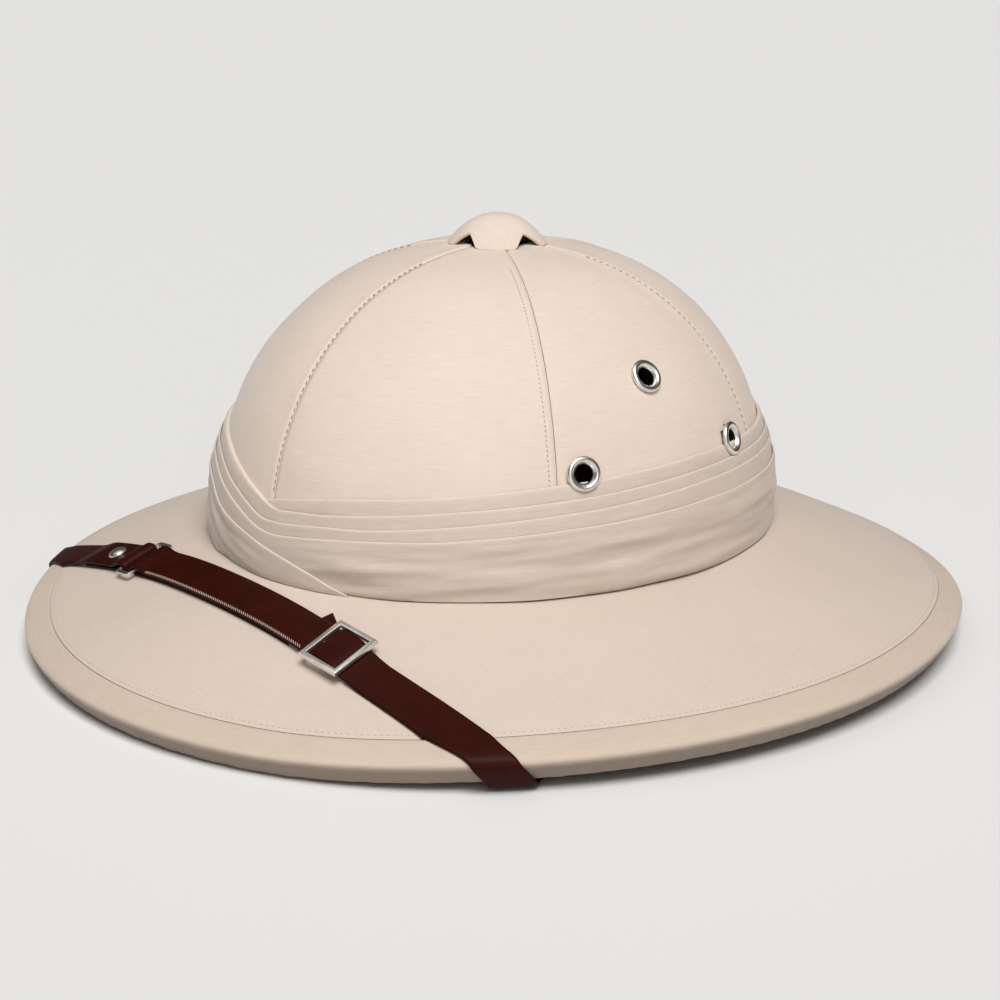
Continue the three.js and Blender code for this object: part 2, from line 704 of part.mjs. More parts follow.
function puggareeGeometry() {
  const seam = 0.1;
  const turns = [
    ...evenly(CROSSING_COLUMNS, seam, 32),
    ...evenly(BAND_COLUMNS, 32, 325).slice(1),
    ...evenly(CROSSING_COLUMNS, 325, 360 - seam).slice(1),
  ];
  const sections = turns.map(bandSection);
  return slab(
    rowsOf(sections.map((section) => section.outer)),
    rowsOf(sections.map((section) => section.inner)),
  );
}

// Top cap: a shallow oval dome cut into four tabs that stand on the cloth

function capGeometry() {
  const bands = 5;
  const fall = (angle) => 1 - Math.cos(angle) ** CAP_FALL;
  const outside = evenly(bands, 0, Math.PI / 2).map(
    (angle) => new THREE.Vector2(CAP_RADIUS * Math.cos(angle), CAP_HEIGHT * fall(angle)),
  );
  outside.at(-1).x = 0;
  const inside = evenly(bands, Math.PI / 2, 0).map(
    (angle) =>
      new THREE.Vector2(
        (CAP_RADIUS - CAP_WALL) * Math.cos(angle),
        (CAP_HEIGHT - CAP_WALL) * fall(angle),
      ),
  );
  inside[0].x = 0;
  const dome = new THREE.LatheGeometry([...outside, ...inside, outside[0].clone()], CAP_SIDES);
  dome.rotateX(Math.PI / 2);
  const far = 2 * CAP_RADIUS;
  const notch = new THREE.Shape([
    new THREE.Vector2(TAB_ROOT_HALF, TAB_ROOT_HALF),
    new THREE.Vector2(CAP_RADIUS, TAB_TIP_HALF),
    new THREE.Vector2(far, TAB_TIP_HALF),
    new THREE.Vector2(far, far),
    new THREE.Vector2(TAB_TIP_HALF, far),
    new THREE.Vector2(TAB_TIP_HALF, CAP_RADIUS),
  ]);
  const tool = () =>
    new THREE.ExtrudeGeometry(notch, { depth: 3 * CAP_HEIGHT, bevelEnabled: false });
  const notches = [0, 1, 2, 3].map((quarter) =>
    tool()
      .translate(0, 0, -CAP_HEIGHT)
      .rotateZ((quarter * Math.PI) / 2),
  );
  return cut(dome, notches).scale(CAP_DEPTH_RADIUS / CAP_RADIUS, 1, 1);
}

const crownHeightAt = (radius) => {
  const reach = radius / (CROWN_WIDTH / 2);
  const angle = Math.acos(reach ** (CROWN_SQUARENESS / 2));
  return BRIM_ROOT_HEIGHT + CROWN_HEIGHT * Math.sin(angle) ** (2 / CROWN_SQUARENESS);
};
const capFoot = crownHeightAt(CAP_DEPTH_RADIUS) + GAP;
const ventInside = crownHeightAt(VENT_RADIUS) - shellDepth - SHELL;

// A hidden bar under the shell's vent, with a post up to the cap
function postGeometry() {
  const barTop = ventInside - 2 * GAP;
  const top = capFoot + CAP_HEIGHT - CAP_WALL - 2.5 * GAP;
  const bar = new THREE.BoxGeometry(2.6 * VENT_RADIUS, POST_BAR_WIDTH, POST_BAR_THICKNESS);
  bar.translate(0, 0, barTop - POST_BAR_THICKNESS / 2);
  const length = top - barTop + POST_BAR_THICKNESS / 2;
  const post = rod(POST_RADIUS, length).translate(0, 0, top - length / 2);
  return toGeometry(toSolid(bar).add(toSolid(post))).translate(0, -CROWN_FORWARD, 0);
}

// Build

const tackSeats = { left: anchorFrame(1), right: anchorFrame(-1) };
const tackPose = ({ here, down }) => {
  const seat = here.clone().addScaledVector(down, LAYER_PITCH + 2 * GAP);
  return poseMatrix(seat, down, vec(1, 0, 0));
};
const tackShank = LAYER_PITCH + 2 * GAP + TACK_DEPTH;
const studDrill = (pose, depth) =>
  rod(RIVET_SHANK + GAP, 2 * depth, STUD_SIDES).applyMatrix4(pose);
const tackDrills = Object.values(tackSeats).map((seat) =>
  studDrill(tackPose(seat), tackShank + GAP),
);

place("shell", cut(shellGeometry(), [...eyeletDrills, ...tackDrills]), MATERIALS.shell);

const SEAMS = [-90, -SEAM_HALF_ANGLE, SEAM_HALF_ANGLE, 90, 180 - SEAM_HALF_ANGLE];
SEAMS.push(180 + SEAM_HALF_ANGLE, 270);
SEAMS.slice(1).forEach((end, i) => {
  const trim = THREE.MathUtils.radToDeg(SEAM_GAP / CROWN_WIDTH);
  const angles = evenly(PANEL_COLUMNS, radians(SEAMS[i] + trim), radians(end - trim));
  const lowest = crownRing(1.5);
  const rings = [...crownRings.slice(0, -1), lowest];
  const panel = slab(skinGrid(rings, angles, 0), skinGrid(rings, angles, CLOTH));
  place(`crown_panel_${i + 1}`, cut(panel, eyeletDrills), MATERIALS.cloth);
});

const brimClothRings = [...brimRings.slice(0, -1), brimRing(1 - (2 * GAP) / BINDING_TOP)];
const brimCloth = slab(
  skinGrid(brimClothRings, ANGLES, 0),
  skinGrid(brimClothRings, ANGLES, CLOTH),
  true,
);
place("brim_cloth", brimCloth, MATERIALS.cloth);

const footRings = [
  rimRing(footInset + BINDING_FOOT, 0),
  rimRing(footInset + BINDING_FOOT + 0.6, 0.8),
  rimRing(footInset + BINDING_FOOT + 0.3, BINDING_INSIDE),
];
const bindingRings = [...edgeRings, ...footRings];
const binding = slab(
  skinGrid(bindingRings, ANGLES, 0),
  skinGrid(bindingRings, ANGLES, CLOTH),
  true,
);
place("edge_binding", binding, MATERIALS.binding);

const notchDrills = EYELETS.filter(({ low }) => low).map(({ pose }) =>
  rod(EYELET_RADIUS + GAP, 20).applyMatrix4(pose),
);
place("puggaree", cut(puggareeGeometry(), notchDrills), MATERIALS.cloth);

EYELETS.forEach(({ name, pose }) => {
  const depth = shellDepth + SHELL + 1;
  const profile = [
    [EYELET_BORE, -depth],
    [barrelRadius, -depth],
    [barrelRadius, GAP],
    [EYELET_RADIUS, GAP],
    [EYELET_RADIUS, GAP + EYELET_ROLL * 0.5],
    [(EYELET_RADIUS + EYELET_BORE) / 2, GAP + EYELET_ROLL],
    [EYELET_BORE, GAP + EYELET_ROLL * 0.5],
    [EYELET_BORE, -depth],
  ].map(([r, z]) => new THREE.Vector2(r, z));
  const geometry = new THREE.LatheGeometry(profile, EYELET_SIDES).rotateX(Math.PI / 2);
  place(name, toGeometry(toSolid(geometry)).applyMatrix4(pose), MATERIALS.nickel);
});

const cap = capGeometry().rotateZ(radians(CAP_TURN)).translate(0, -CROWN_FORWARD, capFoot);
place("vent_cap", cap, MATERIALS.cloth);
place("vent_post", postGeometry(), MATERIALS.nickel);

const rivetHeight = LAYER_TWO + STRAP_THICKNESS / 2 + GAP;
const rivetPose = onStrap(TAB_RIVET_PLACE, rivetHeight);
const rivetShank = rivetHeight - GAP;
place("strap_long", cut(ribbon(longStrapLines(), STRAP_THICKNESS), tackDrills), MATERIALS.leather);
const tabDrills = [studDrill(rivetPose, rivetShank + GAP), ...tackDrills];
place("strap_tab", cut(ribbon(tabLines(), STRAP_THICKNESS), tabDrills), MATERIALS.leather);

const buckle = barFrame(BUCKLE_LENGTH, BUCKLE_BAR, BUCKLE_THICKNESS, CROSS_BAR_THICKNESS);
buckle.applyMatrix4(onStrap(BUCKLE_PLACE, buckleHeight));
place("strap_buckle", buckle, MATERIALS.nickel);
const ringFrame = barFrame(RING_LENGTH, RING_BAR, RING_THICKNESS, 0);
ringFrame.applyMatrix4(onStrap(RING_PLACE, ringHeight));
place("strap_ring", ringFrame, MATERIALS.nickel);
place("tab_rivet", toGeometry(toSolid(stud(rivetShank))).applyMatrix4(rivetPose), MATERIALS.nickel);
Object.entries(tackSeats).forEach(([side, seat]) => {
  const tack = toGeometry(toSolid(stud(tackShank))).applyMatrix4(tackPose(seat));
  place(`strap_tack_${side}`, tack, MATERIALS.nickel);
});

export default hat;
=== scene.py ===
"""Looks of a cloth-covered pith helmet with a wound puggaree and a leather chin strap.

The hat's surfaces are worked out here from the same sizes as its solids, in millimetres, and turned
into meshes in metres. Each sub-assembly is a class, and each finish says how the real one is made.
"""

from __future__ import annotations

import logging
import math
from dataclasses import dataclass
from enum import Enum

import bmesh
import bpy
import numpy as np
from mathutils import Matrix, Vector

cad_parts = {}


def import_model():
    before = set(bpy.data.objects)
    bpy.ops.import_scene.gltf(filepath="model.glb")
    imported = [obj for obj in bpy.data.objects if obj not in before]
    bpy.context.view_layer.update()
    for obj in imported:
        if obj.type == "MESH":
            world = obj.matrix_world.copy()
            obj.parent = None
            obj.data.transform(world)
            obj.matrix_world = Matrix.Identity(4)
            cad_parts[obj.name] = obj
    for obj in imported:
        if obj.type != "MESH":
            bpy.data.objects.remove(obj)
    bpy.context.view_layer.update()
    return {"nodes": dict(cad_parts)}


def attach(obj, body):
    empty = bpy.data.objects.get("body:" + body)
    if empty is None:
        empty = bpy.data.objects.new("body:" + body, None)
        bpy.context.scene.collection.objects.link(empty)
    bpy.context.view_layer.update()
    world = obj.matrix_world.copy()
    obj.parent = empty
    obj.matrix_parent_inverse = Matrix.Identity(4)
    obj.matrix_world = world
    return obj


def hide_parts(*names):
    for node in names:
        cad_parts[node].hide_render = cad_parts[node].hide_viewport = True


LOG = logging.getLogger("pith_helmet")
MM = 0.001
BODY = "root"
Socket = bpy.types.NodeSocket


class Side(Enum):
    """The wearer's left is +X."""

    LEFT = 1
    RIGHT = -1


class Studio(Enum):
    """The scene's lights, by what each does."""

    KEY = "key"
    FILL = "fill"
    TOP = "top"


def linear(hex_colour: str) -> tuple[float, float, float, float]:
    """Turns an sRGB colour into Blender's linear colour.

    Args:
        hex_colour: six hex digits after a hash sign.

    Returns:
        Red, green, blue and alpha.
    """
    parts = [int(hex_colour[i : i + 2], 16) / 255 for i in (1, 3, 5)]
    made = [v / 12.92 if v <= 0.04045 else ((v + 0.055) / 1.055) ** 2.4 for v in parts]
    return (made[0], made[1], made[2], 1.0)


def add_node(
    tree: bpy.types.NodeTree, kind: str, inputs: dict | None = None, **settings: object
) -> bpy.types.Node:
    """Adds a node with its settings and its inputs.

    Args:
        tree: the tree that takes the node.
        kind: Blender's name of the node's type.
        inputs: socket name or number to its value, or to the output that feeds it.
        settings: properties of the node itself.

    Returns:
        The new node.
    """
    node = tree.nodes.new(kind)
    for key, value in settings.items():
        setattr(node, key, value)
    for key, value in (inputs or {}).items():
        if isinstance(value, Socket):
            tree.links.new(value, node.inputs[key])
        else:
            node.inputs[key].default_value = value
    return node


def smooth_step(low: float, high: float, value: np.ndarray) -> np.ndarray:
    """Rises softly from 0 at low to 1 at high."""
    share = np.clip((value - low) / (high - low), 0, 1)
    return share * share * (3 - 2 * share)


def rounded_path(points: np.ndarray, rounds: int) -> np.ndarray:
    """Cuts a path's corners again and again, which leaves a smooth curve with the same ends.

    Args:
        points: the path's corners, one in each row.
        rounds: how often the corners are cut.

    Returns:
        The smoother path.
    """
    for _ in range(rounds):
        before, after = points[:-1], points[1:]
        pairs = np.stack([0.75 * before + 0.25 * after, 0.25 * before + 0.75 * after], axis=1)
        points = np.vstack([points[:1], pairs.reshape(-1, points.shape[1])[1:-1], points[-1:]])
    return points


def unit(vectors: np.ndarray) -> np.ndarray:
    """Vectors of the same directions and of length 1."""
    return vectors / np.linalg.norm(vectors, axis=-1, keepdims=True)


def run_along(points: np.ndarray) -> np.ndarray:
    """How far along a path each of its points lies."""
    return np.concatenate([[0], np.cumsum(np.linalg.norm(np.diff(points, axis=0), axis=1))])


def seen_from(pose: np.ndarray, points: np.ndarray) -> np.ndarray:
    """Points from a pose's origin, along its own directions."""
    return (points - pose[:3, 3]) @ pose[:3, :3]


def respaced(points: np.ndarray, places: np.ndarray) -> np.ndarray:
    """Points at shares of a path's length.

    Args:
        points: the path, one point in each row.
        places: shares from 0 to 1.

    Returns:
        One point for each share.
    """
    run = run_along(points)
    at = places * run[-1]
    return np.stack([np.interp(at, run, column) for column in points.T], axis=1)


@dataclass(frozen=True)
class Unevenness:
    """A soft random relief in space: a sum of waves, the same on each run."""

    seed: int
    lengths: tuple[float, float, float]
    waves: int = 14

    def at(self, points: np.ndarray) -> np.ndarray:
        """The relief at points in millimetres, about -1 to 1."""
        chance = np.random.default_rng(self.seed)
        total = np.zeros(points.shape[:-1])
        for _ in range(self.waves):
            direction = chance.normal(size=3)
            direction /= np.linalg.norm(direction)
            stretch = chance.uniform(0.6, 1.5)
            turn = 2 * math.pi * direction / (np.array(self.lengths) * stretch)
            total += np.cos(points @ turn + chance.uniform(0, 2 * math.pi))
        return total / math.sqrt(self.waves)


def outward_normals(grid: np.ndarray, wraps: bool) -> np.ndarray:
    """Unit normals of a grid whose rows run down the hat and whose columns run anticlockwise.

    Args:
        grid: points by row and column.
        wraps: whether the last column meets the first.

    Returns:
        One normal for each point.
    """
    down = np.gradient(grid, axis=0)
    if wraps:
        along = np.roll(grid, -1, axis=1) - np.roll(grid, 1, axis=1)
    else:
        along = np.gradient(grid, axis=1)
    normal = np.cross(down, along)
    return normal / np.maximum(np.linalg.norm(normal, axis=-1, keepdims=True), 1e-9)


def plan_threads(grid: np.ndarray) -> np.ndarray:
    """A thread map for cloth cut flat, straight across the hat in plan, on a grid that wraps."""
    plan = grid[..., :2]
    return np.concatenate([plan, plan[:, :1]], axis=1)


def round_lip(outer: np.ndarray, inner: np.ndarray, steps: int = 3) -> tuple[np.ndarray, np.ndarray]:
    """Rounds a wall's last row into a half round between its two sides.

    Args:
        outer: grid of the outer side.
        inner: grid of the inner side.
        steps: rows added to each side.

    Returns:
        The two grids with their new rows, which meet at the tip.
    """
    centre = (outer[-1] + inner[-1]) / 2
    half = (outer[-1] - inner[-1]) / 2
    ahead = outer[-1] - outer[-2]
    share = np.sum(ahead * half, -1, keepdims=True) / np.sum(half * half, -1, keepdims=True)
    ahead = unit(ahead - half * share) * np.linalg.norm(half, axis=-1, keepdims=True)
    angles = np.linspace(0, math.pi / 2, steps + 1)[1:]
    tip = [centre + half * math.cos(a) + ahead * math.sin(a) for a in angles]
    back = [centre - half * math.cos(a) + ahead * math.sin(a) for a in angles]
    return np.concatenate([outer, tip]), np.concatenate([inner, back])


def finish_mesh(mesh: bpy.types.Mesh, sharp: float) -> None:
    """Shades a mesh smooth, but for edges sharper than an angle in degrees."""
    mesh.polygons.foreach_set("use_smooth", np.ones(len(mesh.polygons), dtype=bool))
    mesh.set_sharp_from_angle(angle=math.radians(sharp))
    mesh.validate()
    mesh.update()


def link(mesh: bpy.types.Mesh, name: str) -> bpy.types.Object:
    """Makes an object of a mesh and puts it in the scene."""
    made = bpy.data.objects.new(name, mesh)
    bpy.context.scene.collection.objects.link(made)
    return made


def wall(
    name: str,
    outer: np.ndarray,
    inner: np.ndarray,
    wraps: bool = False,
    threads: np.ndarray | None = None,
    kept: np.ndarray | None = None,
    extra: dict[str, np.ndarray] | None = None,
    sharp: float = 50.0,
) -> bpy.types.Object:
    """A closed wall between two grids of points, with its thread directions as a UV map.

    Args:
        name: the piece's name.
        outer: the outer side in millimetres, by row and column.
        inner: the inner side, of the same shape.
        wraps: whether the last column meets the first.
        threads: millimetres along and across the threads. With wraps it has one more column.
        kept: which cells of the grid are there; all of them where it isn't given.
        extra: named values by row and column, kept on the mesh's points.
        sharp: the angle past which an edge shows.

    Returns:
        The new object.
    """
    rows, columns = outer.shape[:2]
    spans = columns if wraps else columns - 1
    if kept is None:
        kept = np.ones((rows - 1, spans), dtype=bool)
    i, j = np.nonzero(kept)
    count = rows * columns
    wide = spans + 1

    def faces_of(corners: list[tuple[np.ndarray, np.ndarray, int]]) -> tuple[np.ndarray, np.ndarray]:
        places = np.stack([row * columns + col % columns + side * count for row, col, side in corners], 1)
        patterns = np.stack([row * wide + col for row, col, _ in corners], 1)
        return places, patterns

    made = [
        faces_of([(i, j, 0), (i + 1, j, 0), (i + 1, j + 1, 0), (i, j + 1, 0)]),
        faces_of([(i, j + 1, 1), (i + 1, j + 1, 1), (i + 1, j, 1), (i, j, 1)]),
    ]
    padded = np.zeros((rows + 1, spans + 2), dtype=bool)
    padded[1:-1, 1:-1] = kept
    if wraps:
        padded[1:-1, 0] = kept[:, -1]
        padded[1:-1, -1] = kept[:, 0]
    for down, across, first, second in (
        (-1, 0, (0, 0), (0, 1)),
        (1, 0, (1, 1), (1, 0)),
        (0, -1, (1, 0), (0, 0)),
        (0, 1, (0, 1), (1, 1)),
    ):
        open_edge = ~padded[i + 1 + down, j + 1 + across]
        r, c = i[open_edge], j[open_edge]
        one = (r + first[0], c + first[1])
        two = (r + second[0], c + second[1])
        made.append(faces_of([(*one, 0), (*two, 0), (*two, 1), (*one, 1)]))
    faces = np.vstack([f for f, _ in made])
    patterns = np.vstack([p for _, p in made])
    points = np.vstack([outer.reshape(-1, 3), inner.reshape(-1, 3)])
    used, numbers = np.unique(faces, return_inverse=True)
    faces = numbers.reshape(faces.shape)
    mesh = bpy.data.meshes.new(name)
    mesh.from_pydata((points[used] * MM).tolist(), [], faces.tolist())
    if threads is not None:
        layer = mesh.uv_layers.new(name="threads")
        layer.data.foreach_set("uv", (threads.reshape(-1, 2)[patterns.reshape(-1)] * MM).reshape(-1))
    for key, values in (extra or {}).items():
        both = np.concatenate([values.reshape(-1), values.reshape(-1)])
        attribute = mesh.attributes.new(key, "FLOAT", "POINT")
        attribute.data.foreach_set("value", both[used].astype(np.float32))
    finish_mesh(mesh, sharp)
    return link(mesh, name)


def lathe(
    name: str, profile: list[tuple[float, float]], pose: np.ndarray, sides: int
) -> bpy.types.Object:
    """Turns a closed profile round the local Z axis and sets it in place.

    Args:
        name: the piece's name.
        profile: radius and height in millimetres, anticlockwise in the plane of radius and height.
        pose: a 4 by 4 matrix in millimetres.
        sides: steps round the axis.

    Returns:
        The new object.
    """
    turn = np.linspace(0, 2 * math.pi, sides, endpoint=False)
    radius, height = np.array(profile).T
    x, y = radius[:, None] * np.cos(turn), radius[:, None] * np.sin(turn)
    grid = np.stack([x, y, np.repeat(height[:, None], sides, 1)], -1)
    points = grid.reshape(-1, 3) @ pose[:3, :3].T + pose[:3, 3]
    rows = len(profile)
    faces = [
        [i * sides + j, i * sides + (j + 1) % sides, k * sides + (j + 1) % sides, k * sides + j]
        for i, k in zip(range(rows), [*range(1, rows), 0])
        for j in range(sides)
    ]
    mesh = bpy.data.meshes.new(name)
    mesh.from_pydata((points * MM).tolist(), [], faces)
    weld(mesh, 1e-6, recalculated=True)
    finish_mesh(mesh, 35)
    return link(mesh, name)


def weld(mesh: bpy.types.Mesh, distance: float, recalculated: bool = False) -> None:
    """Merges a mesh's doubled points, and turns its faces outwards if asked to."""
    work = bmesh.new()
    work.from_mesh(mesh)
    bmesh.ops.remove_doubles(work, verts=work.verts, dist=distance)
    bmesh.ops.dissolve_degenerate(work, edges=work.edges, dist=distance)
    if recalculated:
        bmesh.ops.recalc_face_normals(work, faces=work.faces)
    work.to_mesh(mesh)
    work.free()


def pose_of(origin: np.ndarray, normal: np.ndarray, hint: np.ndarray) -> np.ndarray:
    """A matrix that turns local +Z to a normal, and local +X as near as can be to a hint."""
    up = unit(normal)
    side = unit(hint - up * np.dot(hint, up))
    made = np.eye(4)
    made[:3, 0] = side
    made[:3, 1] = np.cross(up, side)
    made[:3, 2] = up
    made[:3, 3] = origin
    return made


@dataclass(frozen=True)
class HatForm:
    """The hat's main surfaces, in millimetres. Angles run anticlockwise from the wearer's left."""

    brim_width: float = 346.0
    brim_length: float = 368.0
    rim_lift: float = 4.8
    flat_arc: float = 20.0
    root_height: float = 41.6
    brim_arch: float = 1.2
    binding_top: float = 9.6
    binding_rise: float = 13.8
    binding_inside: float = 5.5
    binding_foot: float = 5.2
    crown_width: float = 196.8
    crown_length: float = 218.4
    crown_height: float = 105.1
    crown_forward: float = 2.3
    squareness: float = 2.31
    side_recess: float = 1.9
    end_recess: float = 0.4
    vent_radius: float = 11.0
    cloth: float = 1.2
    shell: float = 3.0
    gap: float = 0.3
    skin_gap: float = 0.4
    band_height: float = 46.0
    brim_run: float = 66.9
    rim_radius: float = 178.0
    band_radius: float = 107.0
    # Inset and height of the bound edge's corners, as shares of its sewn line's.
    edge_shares: tuple[tuple[float, float], ...] = (
        (1.0, 1.0),
        (0.3, 0.78),
        (0.07, 0.67),
        (0.0, 0.54),
        (0.5, 0.0),
    )

    @property
    def shell_depth(self) -> float:
        """How far the shell's outer side lies under the cloth's."""
        return self.cloth + self.skin_gap

    def lift(self, phi: np.ndarray) -> np.ndarray:
        """How far the rim stands above its front and back at an angle."""
        flat = math.sin(math.radians(self.flat_arc))
        share = np.maximum(0, (np.abs(np.cos(phi)) - flat) / (1 - flat))
        return self.rim_lift * share * share * (3 - 2 * share)

    def rim_rings(self, inset: np.ndarray, z: np.ndarray) -> np.ndarray:
        """Rings at insets from the widest line and heights over the rim's foot."""
        inset, z = np.atleast_1d(inset).astype(float), np.atleast_1d(z).astype(float)
        none = np.zeros_like(inset)
        return np.stack(
            [self.brim_width / 2 - inset, self.brim_length / 2 - inset, none, z, none + 1], 1
        )

    def crown_rings(self, heights: np.ndarray) -> np.ndarray:
        """Rings of the crown's outer skin at heights above the brim's root."""
        heights = np.atleast_1d(heights).astype(float)
        rise = np.clip(heights / self.crown_height, 0, 1)
        angle = np.arcsin(rise ** (self.squareness / 2))
        reach = np.cos(angle) ** (2 / self.squareness)
        tuck = np.maximum(0, 1 - heights / self.band_height) ** 2
        none = np.zeros_like(heights)
        return np.stack(
            [
                self.crown_width / 2 * reach - self.side_recess * tuck,
                self.crown_length / 2 * reach - self.end_recess * tuck,
                none - self.crown_forward,
                self.root_height + heights,
                none,
            ],
            1,
        )

    def crown_heights(self, lowest: float, steps: int) -> np.ndarray:
        """Heights from the vent's edge down to a lowest one, closest where the crown is flattest."""
        reach = self.vent_radius / (self.crown_width / 2)
        top = math.acos(reach ** (self.squareness / 2))
        bottom = math.asin((lowest / self.crown_height) ** (self.squareness / 2))
        angle = np.linspace(top, bottom, steps)
        return self.crown_height * np.sin(angle) ** (2 / self.squareness)

    def height_at(self, radius: float) -> float:
        """Height above the floor of the crown's skin at a radius from its axis."""
        angle = math.acos((radius / (self.crown_width / 2)) ** (self.squareness / 2))
        return self.root_height + self.crown_height * math.sin(angle) ** (2 / self.squareness)

    def brim_rings(self, shares: np.ndarray) -> np.ndarray:
        """Rings of the brim's outer skin at shares of the way from the crown to the sewn line."""
        shares = np.atleast_1d(shares).astype(float)[:, None]
        root = self.crown_rings(np.array([0.0]))
        sewn = self.rim_rings(self.binding_top, self.binding_rise)
        made = root + (sewn - root) * shares
        made[:, 3:4] += self.brim_arch * 4 * shares * (1 - shares)
        return made

    def edge_path(self) -> np.ndarray:
        """Corners of the bound edge's outer side, as inset and height, from its sewn line down."""
        shares = np.array(self.edge_shares)
        return shares * np.array([self.binding_top, self.binding_rise])

    def foot_path(self) -> np.ndarray:
        """Corners of the binding's foot and of its hem inside the rim."""
        inner = self.edge_path()[-1, 0] + self.binding_foot
        return np.array([[inner, 0], [inner + 0.6, 0.8], [inner + 0.3, self.binding_inside]])

    def points(self, rings: np.ndarray, phi: np.ndarray, outset: object = 0.0) -> np.ndarray:
        """Points on rings at angles.

        Args:
            rings: one ring in each row.
            phi: angles, one list for all the rings or one for each.
            outset: how far outside the ring the points lie, level.

        Returns:
            Points by ring and angle.
        """
        phi = np.atleast_2d(phi)
        a, b, centre, z, lift = (rings[:, k : k + 1] for k in range(5))
        x = (a + outset) * np.cos(phi)
        y = centre + (b + outset) * np.sin(phi)
        return np.stack([x, y, z + lift * self.lift(phi)], -1)

    def crown_pose(self, angle: float, height: float) -> np.ndarray:
        """Where a fitting stands on the crown, looking straight out."""
        phi = np.array([math.radians(angle)])
        step = 0.5
        here = self.points(self.crown_rings(np.array([height])), phi)[0, 0]
        ends = self.points(self.crown_rings(np.array([height + step, height - step])), phi)
        down = ends[1, 0] - ends[0, 0]
        outwards = np.array([math.cos(phi[0]), math.sin(phi[0]), 0])
        normal = -down[2] * outwards + np.array([0, 0, np.dot(down, outwards)])
        return pose_of(here, normal, np.array([0.0, 0.0, 1.0]))

    def brim_under(self, spots: np.ndarray) -> tuple[np.ndarray, np.ndarray, np.ndarray]:
        """What lies under points in plan on the brim.

        Args:
            spots: points whose x and y count.

        Returns:
            The angle, the share of the way out, and the point on the brim's skin.
        """
        x, y = spots[..., 0], spots[..., 1]
        low, high = np.full(x.shape, -0.05), np.full(x.shape, 1.2)
        for _ in range(34):
            middle = (low + high) / 2
            rings = self.brim_rings(middle.reshape(-1)).reshape(*x.shape, 5)
            past = np.hypot(x / rings[..., 0], (y - rings[..., 2]) / rings[..., 1]) > 1
            low, high = np.where(past, middle, low), np.where(past, high, middle)
        rings = self.brim_rings(low.reshape(-1)).reshape(*x.shape, 5)
        phi = np.arctan2((y - rings[..., 2]) / rings[..., 1], x / rings[..., 0])
        z = rings[..., 3] + rings[..., 4] * self.lift(phi)
        return phi, low, np.stack([x, y, z], -1)

    def brim_normals(self, spots: np.ndarray) -> np.ndarray:
        """Unit normals of the brim's skin at points in plan."""
        step = 0.5

        def slope(dx: float, dy: float) -> np.ndarray:
            shift = np.array([dx, dy, 0.0])
            ahead = self.brim_under(spots + shift)[2][..., 2]
            return ahead - self.brim_under(spots - shift)[2][..., 2]

        normal = np.stack(
            [-slope(step, 0), -slope(0, step), np.full(spots.shape[:-1], 2 * step)], -1
        )
        return unit(normal)


FORM = HatForm()


class Finish:
    """A material in the making, with a short call for each kind of node that the finishes share."""

    def __init__(self, name: str) -> None:
        """Starts an empty material."""
        self.made = bpy.data.materials.new(name)
        self.made.use_nodes = True
        self.tree = self.made.node_tree
        self.tree.nodes.clear()

    def place(self) -> Socket:
        """The place on the piece, in metres."""
        return add_node(self.tree, "ShaderNodeTexCoord").outputs["Object"]

    def scaled(self, vector: Socket, *scale: float) -> Socket:
        """A vector stretched along its three directions."""
        node = add_node(self.tree, "ShaderNodeMapping", {"Vector": vector, "Scale": scale})
        return node.outputs["Vector"]

    def thread_map(self) -> Socket:
        """The piece's own thread map, in millimetres."""
        uv = add_node(self.tree, "ShaderNodeUVMap", uv_map="threads").outputs["UV"]
        return self.scaled(uv, 1000, 1000, 1000)

    def noise(
        self, vector: Socket, scale: float, detail: float, roughness: float = 0.5, swirl: float = 0.0
    ) -> Socket:
        """Soft noise with so many waves to the vector's unit."""
        inputs = {"Vector": vector, "Scale": scale, "Detail": detail}
        inputs |= {"Roughness": roughness, "Distortion": swirl}
        return add_node(self.tree, "ShaderNodeTexNoise", inputs).outputs["Fac"]

    def math(self, operation: str, *values: Socket | float) -> Socket:
        """An operation on sockets and numbers."""
        node = add_node(self.tree, "ShaderNodeMath", dict(enumerate(values)), operation=operation)
        return node.outputs[0]

    def ramp(
        self,
        value: Socket,
        low: float = 0.0,
        high: float = 1.0,
        first: float = 0.0,
        last: float = 1.0,
        shape: str = "LINEAR",
    ) -> Socket:
        """A value that goes from first to last while another goes from low to high."""
        inputs = {"Value": value, "From Min": low, "From Max": high, "To Min": first, "To Max": last}
        node = add_node(self.tree, "ShaderNodeMapRange", inputs, interpolation_type=shape)
        return node.outputs["Result"]

    def blend(self, share: Socket, first: Socket | tuple, second: Socket | tuple) -> Socket:
        """A colour between two others."""
        inputs = {"Factor": share, "A": first, "B": second}
        return add_node(self.tree, "ShaderNodeMix", inputs, data_type="RGBA").outputs["Result"]

    def bump(self, height: Socket, strength: float, relief_mm: float) -> Socket:
        """Fine relief of a depth in millimetres."""
        inputs = {"Height": height, "Strength": strength, "Distance": relief_mm * MM}
        return add_node(self.tree, "ShaderNodeBump", inputs).outputs["Normal"]

    def surface(self, inputs: dict) -> bpy.types.Material:
        """Ends the material with its surface."""
        shader = add_node(self.tree, "ShaderNodeBsdfPrincipled", inputs)
        add_node(self.tree, "ShaderNodeOutputMaterial", {"Surface": shader.outputs[0]})
        return self.made


